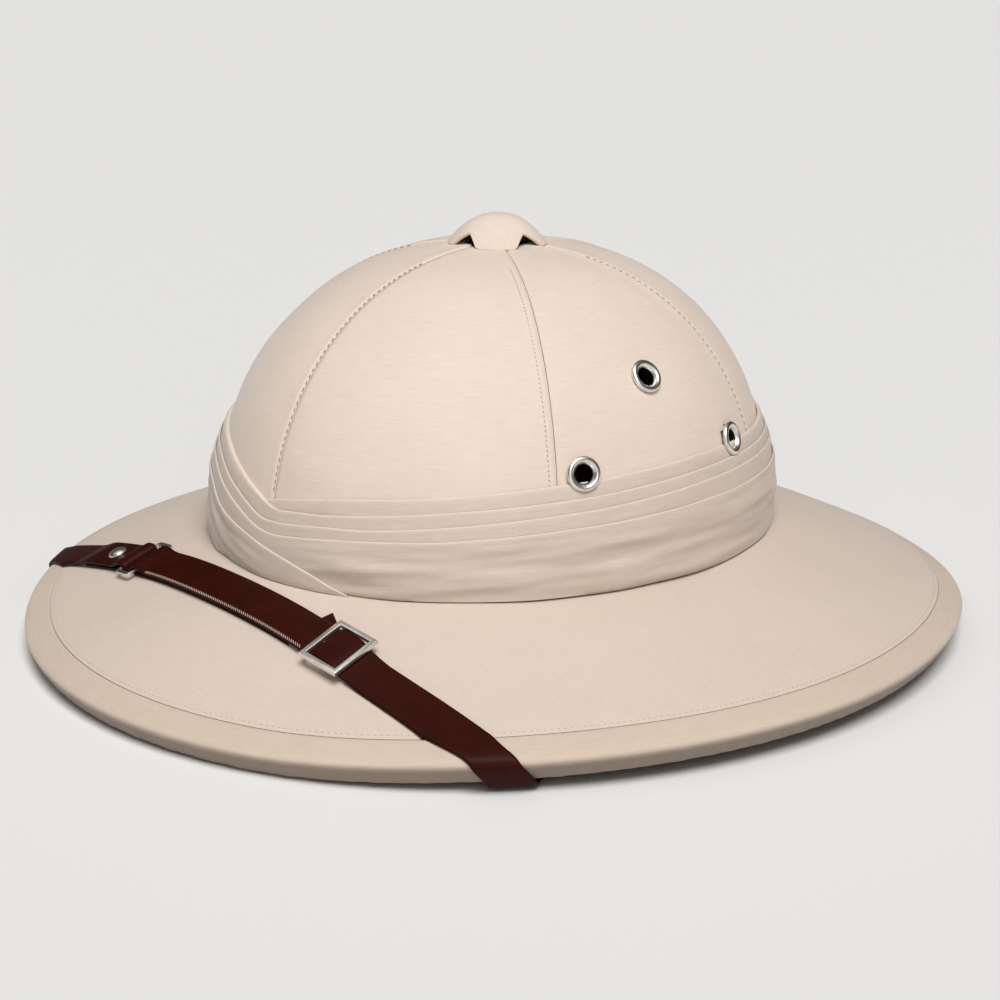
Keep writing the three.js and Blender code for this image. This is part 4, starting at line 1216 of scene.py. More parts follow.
@dataclass
class Puggaree:
    """The scarf wound round the crown in one long helix of folds."""

    wardrobe: Wardrobe
    holes: list[np.ndarray]
    press_radius: float = 6.3
    press_reach: float = 1.1
    gap: float = 0.5
    top_thickness: float = 1.1
    step: float = 0.75
    thickness: float = 0.62
    wind_start: float = -5.0
    hem_turn: float = 28.0
    hem_gap: float = 0.9
    overlap: float = 4.5
    spacing: float = 1.15
    long_crease: float = 0.5
    short_crease: float = 0.24
    fine_crease: float = 0.05
    # Degrees of winding, and how far the scarf's outside stands off the crown there.
    stand_off: tuple[tuple[float, float], ...] = (
        (0, 0.8),
        (40, 1.25),
        (300, 1.8),
        (345, 1.85),
        (356, 1.88),
        (364, 1.95),
        (374, 2.1),
    )
    # Distance down from a folded edge, and how much of its thickness the shoulder draws in there.
    shoulder: tuple[tuple[float, float], ...] = (
        (0.0, 0.74),
        (0.05, 0.46),
        (0.16, 0.24),
        (0.34, 0.1),
        (0.6, 0.02),
        (1.0, -0.03),
        (1.6, -0.03),
        (2.4, 0.0),
    )
    # Degrees within a lap, then the folded edge's height on laps 1 to 5, as shares of the band's.
    folds: tuple[tuple[float, ...], ...] = (
        (0, 0.545, 0.603, 0.478, 0.388, 0.287),
        (3, 0.559, 0.563, 0.437, 0.357, 0.257),
        (6, 0.587, 0.532, 0.431, 0.341, 0.234),
        (7.6, 0.602, 0.517, 0.436, 0.341, 0.22),
        (9, 0.61, 0.527, 0.44, 0.345, 0.207),
        (12.4, 0.632, 0.543, 0.45, 0.359, 0.18),
        (19.5, 0.676, 0.563, 0.48, 0.39, 0.1),
        (22.3, 0.69, 0.575, 0.487, 0.4, 0.046),
        (25.5, 0.705, 0.587, 0.493, 0.41, 0.005),
        (28, 0.715, 0.597, 0.497, 0.42, -0.03),
        (36, 0.741, 0.63, 0.525, 0.44, -0.03),
        (45, 0.768, 0.664, 0.56, 0.457, -0.03),
        (51, 0.79, 0.682, 0.581, 0.477, -0.03),
        (62, 0.821, 0.71, 0.616, 0.506, -0.03),
        (67, 0.834, 0.723, 0.629, 0.52, -0.03),
        (75, 0.845, 0.738, 0.643, 0.531, -0.03),
        (86, 0.867, 0.761, 0.671, 0.545, -0.03),
        (100, 0.883, 0.781, 0.693, 0.558, -0.03),
        (110, 0.877, 0.784, 0.697, 0.555, -0.03),
        (121, 0.872, 0.774, 0.694, 0.552, -0.03),
        (140, 0.868, 0.765, 0.68, 0.54, -0.03),
        (180, 0.87, 0.76, 0.66, 0.53, -0.03),
        (260, 0.9, 0.78, 0.67, 0.54, -0.03),
        (325, 0.91, 0.8, 0.69, 0.56, -0.03),
        (336, 0.852, 0.745, 0.665, 0.53, -0.03),
        (340, 0.828, 0.72, 0.622, 0.5, -0.03),
        (344, 0.79, 0.672, 0.575, 0.42, -0.03),
        (349, 0.738, 0.612, 0.515, 0.357, -0.03),
        (354, 0.68, 0.556, 0.463, 0.325, -0.03),
        (357.5, 0.634, 0.512, 0.42, 0.3, -0.03),
        (360, 0.603, 0.478, 0.388, 0.287, -0.03),
    )

    @property
    def last(self) -> float:
        """Degrees of winding from the first fold to where the last one reaches the hem."""
        return 4 * 360 + self.hem_turn

    def fold_height(self, turned: np.ndarray) -> np.ndarray:
        """Height of the folded edge over the brim's root, after so many degrees of winding."""
        table = np.array(self.folds, dtype=float)
        places = []
        heights = []
        for lap in range(5):
            rows = table if lap == 0 else table[1:]
            places.append(rows[:, 0] + 360 * lap)
            heights.append(rows[:, 1 + lap])
        place = np.concatenate(places)
        height = np.concatenate(heights) * FORM.band_height
        fine = np.arange(-20.0, 1830.0, 1.0)
        rough = np.interp(fine, place, height)
        bell = np.exp(-((np.arange(-12, 13) / 1.7) ** 2))
        soft = np.convolve(np.pad(rough, 12, mode="edge"), bell / bell.sum(), mode="valid")
        return np.interp(turned, fine, soft)

    def reach_at(self, turned: np.ndarray) -> np.ndarray:
        """How far the scarf's outside stands off the crown, after so many degrees of winding."""
        last = self.gap + self.top_thickness + self.step * self.last / 360
        places, reaches = np.array([*self.stand_off, (self.last, last)]).T
        return np.interp(turned, places, reaches)

    def build(self) -> None:
        """Builds the scarf as one strip from its first fold to its last."""
        turned = np.arange(0.5, self.last - 0.4, self.spacing)
        phi = np.radians(-90 + self.wind_start + turned)
        top = self.fold_height(turned)
        reach = self.reach_at(turned)
        following = turned + 360
        under = np.where(following < self.last, self.fold_height(following) - self.overlap, -9)
        hem = self.hem_height(phi, reach)
        bottom = np.maximum(under, hem)
        bottom = np.minimum(bottom, top - 1.2)
        near, tip = np.array(self.shoulder).T
        down = np.linspace(0, 1, 22)[1:] ** 1.15
        depth = top - bottom
        scale = np.minimum(1, depth / 6.0)
        first_lap = 1 - smooth_step(350, 362, turned)
        ease = scale * (1 + 0.9 * first_lap)
        rows = [ease * n for n in near]
        rows += [ease * near[-1] + (depth - ease * near[-1]) * d for d in down]
        rows = np.array(rows)
        # The first lap is thick enough to reach the crown, so its shoulder is rounder.
        grown = self.thickness + (reach - 0.25 - self.thickness) * first_lap
        tips = np.concatenate([tip, np.zeros(len(down))])[:, None] * grown
        reach = reach - 0.7 * self.step * smooth_step(self.last - 14, self.last, turned)
        heights = top[None] - rows
        hidden = smooth_step(0, self.overlap, depth[None] - rows)
        at_hem = (under <= hem)[None]
        base = self.lay(heights, phi, np.zeros_like(heights))
        crease = self.creases(turned, rows, depth)
        swell = self.step * 0.12 * smooth_step(0, 6, rows)
        visible = np.where(at_hem, 1.0, hidden)
        curl = np.where(at_hem, 0.25 * np.exp(-(((depth[None] - rows) / 1.0) ** 2)), 0.0)
        out = reach[None] - tips + (crease + swell) * visible - curl
        out = self.pressed(base, out)
        outer = self.lay(heights, phi, out)
        inside = np.minimum(heights, top[None] - 0.3 * scale)
        back = reach - self.thickness
        back = 0.12 + (back - 0.12) * smooth_step(360, 372, turned)
        inner = self.lay(inside, phi, np.minimum(out - 0.04, back[None]))
        around = np.radians(turned) * FORM.band_radius
        threads = np.stack(np.broadcast_arrays(around[None], -rows), -1)
        # Painted highlight: the cloth is coloured paler along each folded edge, unevenly along the
        # winding.
        beads = 0.75 + 0.25 * np.sin(turned * 5.1) * np.sin(turned * 1.7 + 1)
        fold = np.exp(-((rows / 0.42) ** 2)) * 0.55 * beads[None]
        piece = wall(
            "puggaree_folds", outer, inner, threads=threads, extra={"fold": fold}, sharp=75
        )
        dress(piece, self.wardrobe.puggaree, "cloth", "puggaree")

    def pressed(self, base: np.ndarray, out: np.ndarray) -> np.ndarray:
        """The scarf's reach, held down flat under the low eyelets' flanges."""
        for pose in self.holes:
            local = seen_from(pose, base)
            near = np.hypot(local[..., 0], local[..., 1]) + 4 * np.abs(local[..., 2] // 9)
            hold = 1 - smooth_step(self.press_radius, self.press_radius + 4.5, near)
            out = out + (np.minimum(out, self.press_reach) - out) * hold
        return out

    def creases(self, turned: np.ndarray, rows: np.ndarray, depth: np.ndarray) -> np.ndarray:
        """Soft creases that run with the winding, most of them in the wide last turn."""
        along = np.broadcast_to(turned[None] * 1.87, rows.shape)
        places = np.stack([along, rows, np.zeros_like(rows)], -1)
        long_waves = Unevenness(41, (95, 9, 50)).at(places) * self.long_crease
        short_waves = Unevenness(42, (38, 5, 50)).at(places)
        wide = smooth_step(8, 20, depth)[None]
        fade = smooth_step(0.8, 5, rows)
        return (long_waves * wide + short_waves * (self.fine_crease + self.short_crease * wide)) * fade

    def hem_height(self, phi: np.ndarray, reach: np.ndarray) -> np.ndarray:
        """Where the brim's cloth lies under the scarf's hem."""
        ends = FORM.brim_rings(np.array([0.0, 1.0]))
        shares = reach / (ends[1, 0] - ends[0, 0])
        rings = FORM.brim_rings(shares)
        return rings[:, 3] + rings[:, 4] * FORM.lift(phi) - FORM.root_height + self.hem_gap

    def lay(self, heights: np.ndarray, phi: np.ndarray, outset: np.ndarray) -> np.ndarray:
        """Points at heights and angles, standing out level from the crown's skin."""
        flat = np.maximum(heights, 0.0)
        rings = FORM.crown_rings(flat.reshape(-1)).reshape(*heights.shape, 5)
        x = (rings[..., 0] + outset) * np.cos(phi)
        y = rings[..., 2] + (rings[..., 1] + outset) * np.sin(phi)
        return np.stack([x, y, rings[..., 3] + np.minimum(heights, 0.0)], -1)


@dataclass
class VentCap:
    """The cloth-covered cap over the vent: a shallow dome cut into four tabs."""

    wardrobe: Wardrobe
    radius: float = 18.5
    depth_radius: float = 15.5
    height: float = 11.0
    wall_mm: float = 1.6
    turn: float = -45.0
    root_half: float = 9.9
    tip_half: float = 7.1
    fall: float = 2.2
    columns: int = 288

    def outline(self, turn: np.ndarray) -> np.ndarray:
        """The dome's reach at an angle, which dips between the tabs."""
        quarter = np.abs((turn + math.pi / 4) % (math.pi / 2) - math.pi / 4)
        run = self.radius - self.root_half
        slope = (self.root_half - self.tip_half) / run
        side = self.root_half * (1 + slope) / ((np.tan(quarter) + slope) * np.cos(quarter))
        keen = 40
        return (side**-keen + self.radius**-keen) ** (-1 / keen)

    def build(self) -> None:
        """Builds the cap's dome and, on the post that carries it, a dark head whose colour is painted
        shade.
        """
        turn = np.linspace(0, 2 * math.pi, self.columns, endpoint=False)
        share = np.concatenate([[0.0], np.linspace(0.02, 1, 34)])
        reach = self.outline(turn)[None] * np.sin(share * math.pi / 2)[:, None]
        ratio = np.clip(reach / self.radius, 0, 1)
        rise = self.height * (1 - ratio**self.fall)
        outer = np.stack([reach * np.cos(turn), reach * np.sin(turn), rise], -1)
        soft = Unevenness(51, (14, 14, 14)).at(outer) * 0.1
        inner_share = (self.radius - self.wall_mm) / self.radius
        inner = outer * np.array([inner_share, inner_share, 1.0])
        inner[..., 2] = (self.height - self.wall_mm) * (1 - ratio**self.fall)
        outer = outer * (1 + soft / self.radius)[..., None]
        outer, inner = round_lip(outer, inner)
        outer, inner = (self.place(grid) for grid in (outer, inner))
        threads = plan_threads(outer)
        piece = wall("vent_cap_cotton", outer, inner, wraps=True, threads=threads, sharp=60)
        weld(piece.data, 2e-6)
        finish_mesh(piece.data, 60)
        dress(piece, self.wardrobe.crown, "cloth", "vent_cap")
        self.build_head()

    def build_head(self) -> None:
        """Builds the dark head that carries the cap, on top of the post under the vent. Its dark colour
        is painted shade for the hollow under the dome.
        """
        pose = np.eye(4)
        pose[:3, 3] = (0, 0, FORM.height_at(self.depth_radius) + FORM.gap)
        inside = self.radius - self.wall_mm - 0.6
        tall = self.height - self.wall_mm - 0.3
        steps = np.linspace(0.86, 0.0, 10)
        dome = [(inside * s, tall * (1 - s**self.fall)) for s in steps]
        profile = [(0.0, -2.0), (3.0, -2.0), (4.0, 0.4), (11.0, 0.9), *dome]
        piece = lathe("vent_head", profile, pose, 64)
        points = np.empty(len(piece.data.vertices) * 3)
        piece.data.vertices.foreach_get("co", points)
        points = points.reshape(-1, 3) / MM
        points[:, 2] -= pose[2, 3]
        oval = self.place(points) * MM
        piece.data.vertices.foreach_set("co", oval.reshape(-1))
        piece.data.update()
        # Painted shade: the head's dark metal makes the notches between the tabs look shadowed.
        dress(piece, self.wardrobe.painted_shade_metal, "nickel")

    def place(self, grid: np.ndarray) -> np.ndarray:
        """Flattens the cap to its oval, turns it and sets it on the crown."""
        x = grid[..., 0] * self.depth_radius / self.radius
        y = grid[..., 1]
        angle = math.radians(self.turn)
        foot = FORM.height_at(self.depth_radius) + FORM.gap
        return np.stack(
            [
                x * math.cos(angle) - y * math.sin(angle),
                x * math.sin(angle) + y * math.cos(angle) - FORM.crown_forward,
                grid[..., 2] + foot,
            ],
            -1,
        )


@dataclass
class Eyelets:
    """The rolled nickel eyelets that air the crown, three to a side."""

    wardrobe: Wardrobe
    radius: float = 6.2
    bore: float = 3.0
    barrel_wall: float = 0.6
    roll: float = 1.6
    aim: float = -2.5
    spread: float = 20.3
    low: float = 41.2
    high: float = 68.5
    low_rise: float = 0.75

    def poses(self) -> dict[str, np.ndarray]:
        """Where each eyelet stands, by its node's name."""
        places = {}
        for name, offset, height in (
            ("low_front", -self.spread, self.low),
            ("high", 0.0, self.high),
            ("low_back", self.spread, self.low),
        ):
            angle = self.aim + offset
            for side, turn in (("left", angle), ("right", 180 - angle)):
                pose = FORM.crown_pose(turn, height)
                if height == self.low:
                    pose[:3, 3] += pose[:3, 2] * self.low_rise
                places[f"eyelet_{side}_{name}"] = pose
        return places

    def low_poses(self) -> list[np.ndarray]:
        """The poses of the eyelets that stand over the scarf's top fold."""
        return [pose for name, pose in self.poses().items() if "low" in name]

    def profile(self) -> list[tuple[float, float]]:
        """The eyelet's section: a rolled flange, a funnel and a barrel."""
        gap = FORM.gap
        depth = -(FORM.shell_depth + FORM.shell + 1)
        middle = 5.05
        bead = []
        for angle in np.linspace(-30, 150, 13):
            turn = math.radians(angle)
            bead.append((middle + 1.15 * math.cos(turn), gap + 0.55 + 1.05 * math.sin(turn)))
        funnel = [(3.75, gap + 0.75), (3.4, gap + 0.2), (3.15, -0.6), (self.bore, -1.6)]
        foot = [
            (self.bore, depth),
            (self.bore + 0.5, depth - 0.3),
            (self.bore + 1.1, depth),
            (self.bore + 0.9, depth + 0.5),
            (self.bore + self.barrel_wall, depth + 0.8),
            (self.bore + self.barrel_wall, 0.0),
            (4.6, gap * 0.3),
        ]
        return [*foot[::-1][0:1], *bead, *funnel, *foot[:-1]]

    def build(self) -> None:
        """Builds all the eyelets."""
        for name, pose in self.poses().items():
            piece = lathe(f"{name}_rolled", self.profile(), pose, 64)
            dress(piece, self.wardrobe.nickel, "nickel", name)
            self.paint_bore_shade(piece.data, pose)

    def paint_bore_shade(self, mesh: bpy.types.Mesh, pose: np.ndarray) -> None:
        """Gives the barrel's inside a dark, dull finish, a painted shade deep in the bore."""
        # Painted shade: faces inside the bore take the dark metal.
        mesh.materials.append(self.wardrobe.painted_shade_metal)
        for face in mesh.polygons:
            local = seen_from(pose, np.array(face.center) / MM)
            if local[2] < 0.4 and math.hypot(local[0], local[1]) < self.bore + 0.45:
                face.material_index = 1


@dataclass
class ChinStrap:
    """The leather chin strap, laid up over the front of the brim, with its metal.

    Sizes and places along X are in millimetres, and bearings in degrees.
    """

    wardrobe: Wardrobe
    stitches: StitchRows
    width: float = 15.0
    thickness: float = 1.3
    forward: float = 127.5
    set_back: float = 2.4
    before_edge: float = 1.05
    over_edge: float = 0.55
    edge_fold: float = 10.5
    bend: float = -6.0
    swing: float = 6.8
    tail_aside: float = 5.2
    buckle_place: float = 58.0
    ring_place: float = -62.0
    rivet_place: float = -82.0
    tab_end: float = -97.0
    strap_pass: float = 4.0
    anchor_angle: float = 12.0
    anchor_share: float = 0.2
    buckle_length: float = 18.2
    buckle_bar: float = 2.05
    buckle_thickness: float = 2.0
    cross_bar: float = 0.4
    ring_length: float = 11.0
    ring_bar: float = 1.6
    ring_thickness: float = 1.0
    ring_corner: float = 1.1
    ring_room: float = 1.5
    metal_room: float = 0.5
    rivet_head: float = 3.6
    rivet_dome: float = 1.6
    rivet_shank: float = 1.2
    tack_depth: float = 1.8

    def __post_init__(self) -> None:
        """Works out the heights of the strap's layers and of its metal."""
        half = self.thickness / 2
        gap = FORM.gap
        self.layer_one = gap + half
        self.layer_pitch = self.thickness + gap
        self.layer_two = self.layer_one + self.layer_pitch
        self.ring_turn = math.hypot(self.ring_bar, self.ring_thickness) / 2 + 0.08 + half
        self.ring_height = self.layer_one + self.ring_turn
        self.bar_offset = (self.ring_length - self.ring_bar) / 2
        self.buckle_height = self.layer_two + half + gap + self.buckle_thickness / 2
        self.bar_height = self.layer_two + half + gap + self.cross_bar / 2
        self.over_bar = self.bar_height + self.cross_bar / 2 + 0.1 + half
        self.loop_place = self.ring_place + self.bar_offset
        self.loop_top = self.ring_height + self.ring_turn

    def line(self, x: np.ndarray) -> np.ndarray:
        """The strap's middle line in plan."""
        softness = 12.0
        run = softness * np.logaddexp(0, (self.bend - x) / softness)
        back = self.set_back * smooth_step(68.0, 124.0, x)
        return -self.forward + run * math.tan(math.radians(self.swing)) + back

    def frames(self, x: np.ndarray) -> tuple[np.ndarray, np.ndarray, np.ndarray, np.ndarray]:
        """Place, forward direction, cross direction and normal of the strap at places along X."""
        step = 0.5
        spots = np.stack([x, self.line(x), np.zeros_like(x)], -1)
        along = np.stack(
            [np.full_like(x, 2 * step), self.line(x + step) - self.line(x - step), 0 * x], -1
        )
        normal = FORM.brim_normals(spots)
        here = FORM.brim_under(spots)[2]
        forward = along - normal * np.sum(along * normal, -1, keepdims=True)
        forward = unit(forward)
        return here, forward, np.cross(normal, forward), normal

    def columns(self) -> np.ndarray:
        """Places across the strap, from one edge to the other, closest at the edges."""
        return np.array([-1, -0.97, -0.9, -0.78, -0.45, 0, 0.45, 0.78, 0.9, 0.97, 1.0])

    def brim_lines(
        self,
        x: np.ndarray,
        height: np.ndarray,
        width: np.ndarray | float | None = None,
        shear: np.ndarray | float = 0.0,
        aside: np.ndarray | float = 0.0,
    ) -> np.ndarray:
        """Cross lines of the strap over the brim.

        Args:
            x: places along X.
            height: heights of the strap's middle over the cloth.
            width: the strap's width at each, where it isn't the usual one.
            shear: slant of each line in radians.
            aside: how far each line's middle lies towards the crown.

        Returns:
            Points by line and column.
        """
        x = np.asarray(x, dtype=float)
        height = np.broadcast_to(height, x.shape)
        width = np.broadcast_to(self.width if width is None else width, x.shape)
        shear = np.broadcast_to(shear, x.shape)
        here, forward, across, _ = self.frames(x)
        here = here + across * np.broadcast_to(aside, x.shape)[:, None]
        half = width / 2 / np.cos(shear)
        axis = np.cross(forward, across)
        turned = across * np.cos(shear)[:, None] - np.cross(axis, across) * np.sin(shear)[:, None]
        spots = here[:, None] + turned[:, None] * (half[:, None] * self.columns())[..., None]
        under = FORM.brim_under(spots)[2]
        return under + FORM.brim_normals(spots) * height[:, None, None]

    def crossing(self, side: Side) -> dict[str, float]:
        """Where the strap's middle crosses the sewn line, and its slant to the rim there."""
        inside, outside = 0.0, side.value * (FORM.brim_width / 2 - FORM.binding_top - 1)
        for _ in range(34):
            middle = (inside + outside) / 2
            spot = np.array([[middle, self.line(np.array([middle]))[0], 0.0]])
            if FORM.brim_under(spot)[1][0] < 1:
                inside = middle
            else:
                outside = middle
        level = self.line(np.array([inside, inside + side.value]))
        phi = FORM.brim_under(np.array([[inside, level[0], 0.0]]))[0][0]
        sewn = FORM.brim_rings(np.array([1.0]))[0]
        rim = np.array([-sewn[0] * math.sin(phi), sewn[1] * math.cos(phi), 0.0])
        rim = unit(rim)
        back = rim if rim[1] > 0 else -rim
        run = np.array([side.value, level[1] - level[0], 0.0])
        run = unit(run)
        slant = math.pi / 2 - math.acos(float(run @ back))
        return {"x": inside, "phi": float(phi), "slant": slant, "turn": side.value}

    def outward_lines(self, start: float, crossing: dict[str, float], steps: int) -> np.ndarray:
        """Cross lines whose slant grows to the rim's own as they reach it."""
        share = np.linspace(0, 1, steps + 1)[:-1]
        x = start + (crossing["x"] - start) * share
        shear = crossing["turn"] * crossing["slant"] * share**2
        return self.brim_lines(x, self.layer_one, shear=shear)

    def edge_lines(self, crossing: dict[str, float]) -> np.ndarray:
        """The strap over the edge: lines that follow the rim and slip round it on the way down."""
        path = rounded_path(FORM.edge_path(), 2)
        inner = FORM.edge_path()[-1, 0] + FORM.binding_foot
        path = respaced(path, np.linspace(0, 1, 26))
        under = np.array([[inner - 3.0, 0.0], [inner, 0.0], [inner + self.strap_pass, 0.0]])
        path = np.vstack([path, under])
        rings = FORM.rim_rings(path[:, 0], path[:, 1])
        sewn = rings[0]
        phi = crossing["phi"]
        reach = math.hypot(sewn[0] * math.sin(phi), sewn[1] * math.cos(phi))
        run = run_along(path)
        # The strap swings straighter down as it bends over the edge, and narrows along the rim.
        folded = smooth_step(self.edge_fold - 1, self.edge_fold + 3, run)
        swung = self.before_edge - (self.before_edge - self.over_edge) * folded
        swung = np.tan(crossing["slant"]) * (swung[1:] + swung[:-1]) / 2
        slip = np.concatenate([[0], np.cumsum(np.diff(run) * swung)]) * crossing["turn"]
        narrow = crossing["slant"] * (1 - 0.75 * np.clip(run / self.edge_fold, 0, 1) ** 1.3)
        half = (self.width / 2 / np.cos(narrow))[:, None]
        turns = phi + (slip[:, None] + half * self.columns()[None]) / reach
        here = FORM.points(rings, turns)
        before = FORM.points(rings[np.maximum(np.arange(len(rings)) - 1, 0)], turns)
        after = FORM.points(rings[np.minimum(np.arange(len(rings)) + 1, len(rings) - 1)], turns)
        outwards = np.stack([np.cos(turns), np.sin(turns), 0 * turns], -1)
        run_out = np.sum((after - before) * outwards, -1)
        fall = after[..., 2] - before[..., 2]
        normal = outwards * -fall[..., None]
        normal[..., 2] = run_out
        normal = unit(normal)
        return here + normal * self.layer_one

    def anchor(self, side: Side) -> tuple[np.ndarray, np.ndarray]:
        """Where the hidden end is tacked under the shell, and the way down from it."""
        turn = math.radians(self.anchor_angle)
        phi = -turn if side is Side.LEFT else math.pi + turn
        shares = np.array([self.anchor_share - 0.02, self.anchor_share, self.anchor_share + 0.02])
        points = FORM.points(FORM.brim_rings(shares), np.array([phi]))[:, 0]
        outwards = np.array([math.cos(phi), math.sin(phi), 0.0])
        along = points[2] - points[0]
        normal = outwards * -along[2]
        normal[2] = along @ outwards
        normal = unit(normal)
        return points[1] - normal * (FORM.shell_depth + FORM.shell), -normal

    def hidden_lines(self, side: Side, last: np.ndarray) -> np.ndarray:
        """The run from under the rim straight to the tack."""
        here, down = self.anchor(side)
        middle = len(self.columns()) // 2
        spot = here + down * (self.layer_one + FORM.gap)
        run = spot - last[middle]
        run = run - down * (run @ down)
        run = unit(run)
        across = np.cross(run, down) * self.width / 2
        if across @ (last[-1] - last[0]) < 0:
            across = -across
        offsets = self.columns()[:, None] * across
        landing = spot - run * self.width / 2 + offsets
        end = spot + run * self.width / 2 + offsets
        between = [last + (landing - last) * share for share in (0.15, 0.3, 0.5, 0.75)]
        return np.array([*between, landing, end])

    def bar_turn(self, place: float, side: int) -> np.ndarray:
        """A half turn of the strap round a bar of the ring, on its right (1) or left (-1)."""
        turn = np.radians(np.linspace(-75, 75, 11))
        x = place + side * self.ring_turn * np.cos(turn)
        return self.brim_lines(x, self.ring_height + self.ring_turn * np.sin(turn))

    def long_lines(self) -> np.ndarray:
        """Cross lines of the long strap, from its tail in the buckle to its tack."""
        half = self.buckle_length / 2
        # The doubled end is cut off before the buckle, and one of its corners peeps out.
        share = np.concatenate([[0, 0.03, 0.06, 0.092, 0.099, 0.107], np.linspace(0.13, 1, 34)])
        peeping = np.interp(share, [0, 0.092, 0.107, 1], [0.1, 1, 0, 0])
        start = self.buckle_place - half + 0.6
        tail_x = start + (self.loop_place + 5 - start) * share
        tail = self.brim_lines(tail_x, self.layer_one, aside=self.tail_aside * peeping)
        loop = self.bar_turn(self.loop_place, -1)
        # Down from the ring onto the doubled end, and up over the buckle's cross bar.
        inside = half - self.buckle_bar
        down = self.loop_top - self.layer_two
        up = self.over_bar - self.layer_two
        rises = [(self.loop_place + x, share * down) for x, share in ((2, 1), (4, 0.7), (6.5, 0.22))]
        flat = np.linspace(self.loop_place + 9, self.buckle_place - half - 1, 42)
        rises += [(x, 0.0) for x in flat]
        for x, rise in (
            (-inside - 0.4, 0.0),
            (-inside + 1.0, up / 2),
            (-inside + 2.6, up),
            (inside - 2.6, up),
            (inside - 1.0, up / 2),
            (inside + 0.4, 0.0),
            (half + 1, -0.4),
            (half + 4, -1.0),
        ):
            rises.append((self.buckle_place + x, rise))
        over_x, over_rise = np.array(rises).T
        over = self.brim_lines(over_x, self.layer_two + over_rise)
        crossing = self.crossing(Side.LEFT)
        outward = self.outward_lines(self.buckle_place + half + 8, crossing, 30)
        edge = self.edge_lines(crossing)
        hidden = self.hidden_lines(Side.LEFT, edge[-1])
        return np.concatenate([tail, loop, over, outward, edge, hidden])

    def tab_lines(self) -> np.ndarray:
        """Cross lines of the short tab, from its end, round the ring and over the rim."""
        bar = self.ring_place - self.bar_offset
        tail = self.brim_lines(np.linspace(self.tab_end, bar - 4, 12), self.layer_one)
        turn = self.bar_turn(bar, 1)
        down = self.loop_top - self.layer_two
        steps = 12
        x = [bar - 2.0, bar - 4.0, bar - 6.5, *np.linspace(bar - 9, self.tab_end + 2, steps)]
        x += [self.tab_end - 1.5, self.tab_end - 5.0, self.tab_end - 8.5]
        heights = [self.loop_top, self.layer_two + 0.7 * down, self.layer_two + 0.2 * down]
        heights += [self.layer_two] * steps
        heights += [self.layer_one + share * self.layer_pitch for share in (0.8, 0.4, 0.1)]
        over = self.brim_lines(np.array(x), np.array(heights))
        crossing = self.crossing(Side.RIGHT)
        outward = self.outward_lines(self.tab_end - 11, crossing, 20)
        edge = self.edge_lines(crossing)[:, ::-1]
        hidden = self.hidden_lines(Side.RIGHT, edge[-1])
        return np.concatenate([tail, turn, over, outward, edge, hidden])

    def ribbon(self, name: str, lines: np.ndarray, node: str) -> bpy.types.Object:
        """Builds a strap with rounded edges through cross lines of its middle."""
        across = lines[:, -1] - lines[:, 0]
        across = unit(across)
        middle = lines[:, lines.shape[1] // 2]
        tangent = np.gradient(middle, axis=0)
        tangent = tangent - across * np.sum(tangent * across, -1, keepdims=True)
        normal = np.cross(tangent, across)
        normal = unit(normal)
        share = np.abs(self.columns())
        edge = np.sqrt(np.clip(1 - np.clip((share - 0.86) / 0.15, 0, 1) ** 2, 0, 1))
        crowned = self.thickness / 2 * (0.16 + 0.84 * edge)
        offset = normal[:, None] * crowned[None, :, None]
        run = run_along(middle)
        width = np.linalg.norm(lines[:, -1] - lines[:, 0], axis=-1)
        place = self.columns()[None] * np.minimum(width, self.width)[:, None] / 2
        threads = np.stack(np.broadcast_arrays(place, run[:, None]), -1)
        piece = wall(name, lines + offset, lines - offset, threads=threads, sharp=70)
        weld(piece.data, 1e-7, recalculated=True)
        finish_mesh(piece.data, 70)
        LOG.info("%s is %.0f mm long", name, run[-1])
        return dress(piece, self.wardrobe.leather, "leather", node)

    def on_strap(self, x: float, height: float) -> np.ndarray:
        """A pose on the strap's line at a height over the cloth, with local +X along it."""
        here, forward, _, normal = (part[0] for part in self.frames(np.array([x])))
        return pose_of(here + normal * height, normal, forward)

    def frame_of_bars(
        self,
        name: str,
        sizes: tuple[float, float, float],
        corner: float,
        room: float,
        pose: np.ndarray,
    ) -> bpy.types.Object:
        """Sweeps a flat bar with eased edges round a rectangle.

        Args:
            name: the piece's name.
            sizes: outside length along the strap, and the bar's width and thickness.
            corner: radius of the frame's corners at the middle of its bar; 0 for a mitre.
            room: clearance between the frame and the strap's edges.
            pose: where its middle lies.

        Returns:
            The new object.
        """
        length, bar, thickness = sizes
        half_x = (length - bar) / 2
        half_y = self.width / 2 + room + bar / 2
        path = []
        tangents = []
        for number, (sx, sy) in enumerate(((1, 1), (-1, 1), (-1, -1), (1, -1))):
            if corner < bar / 2:
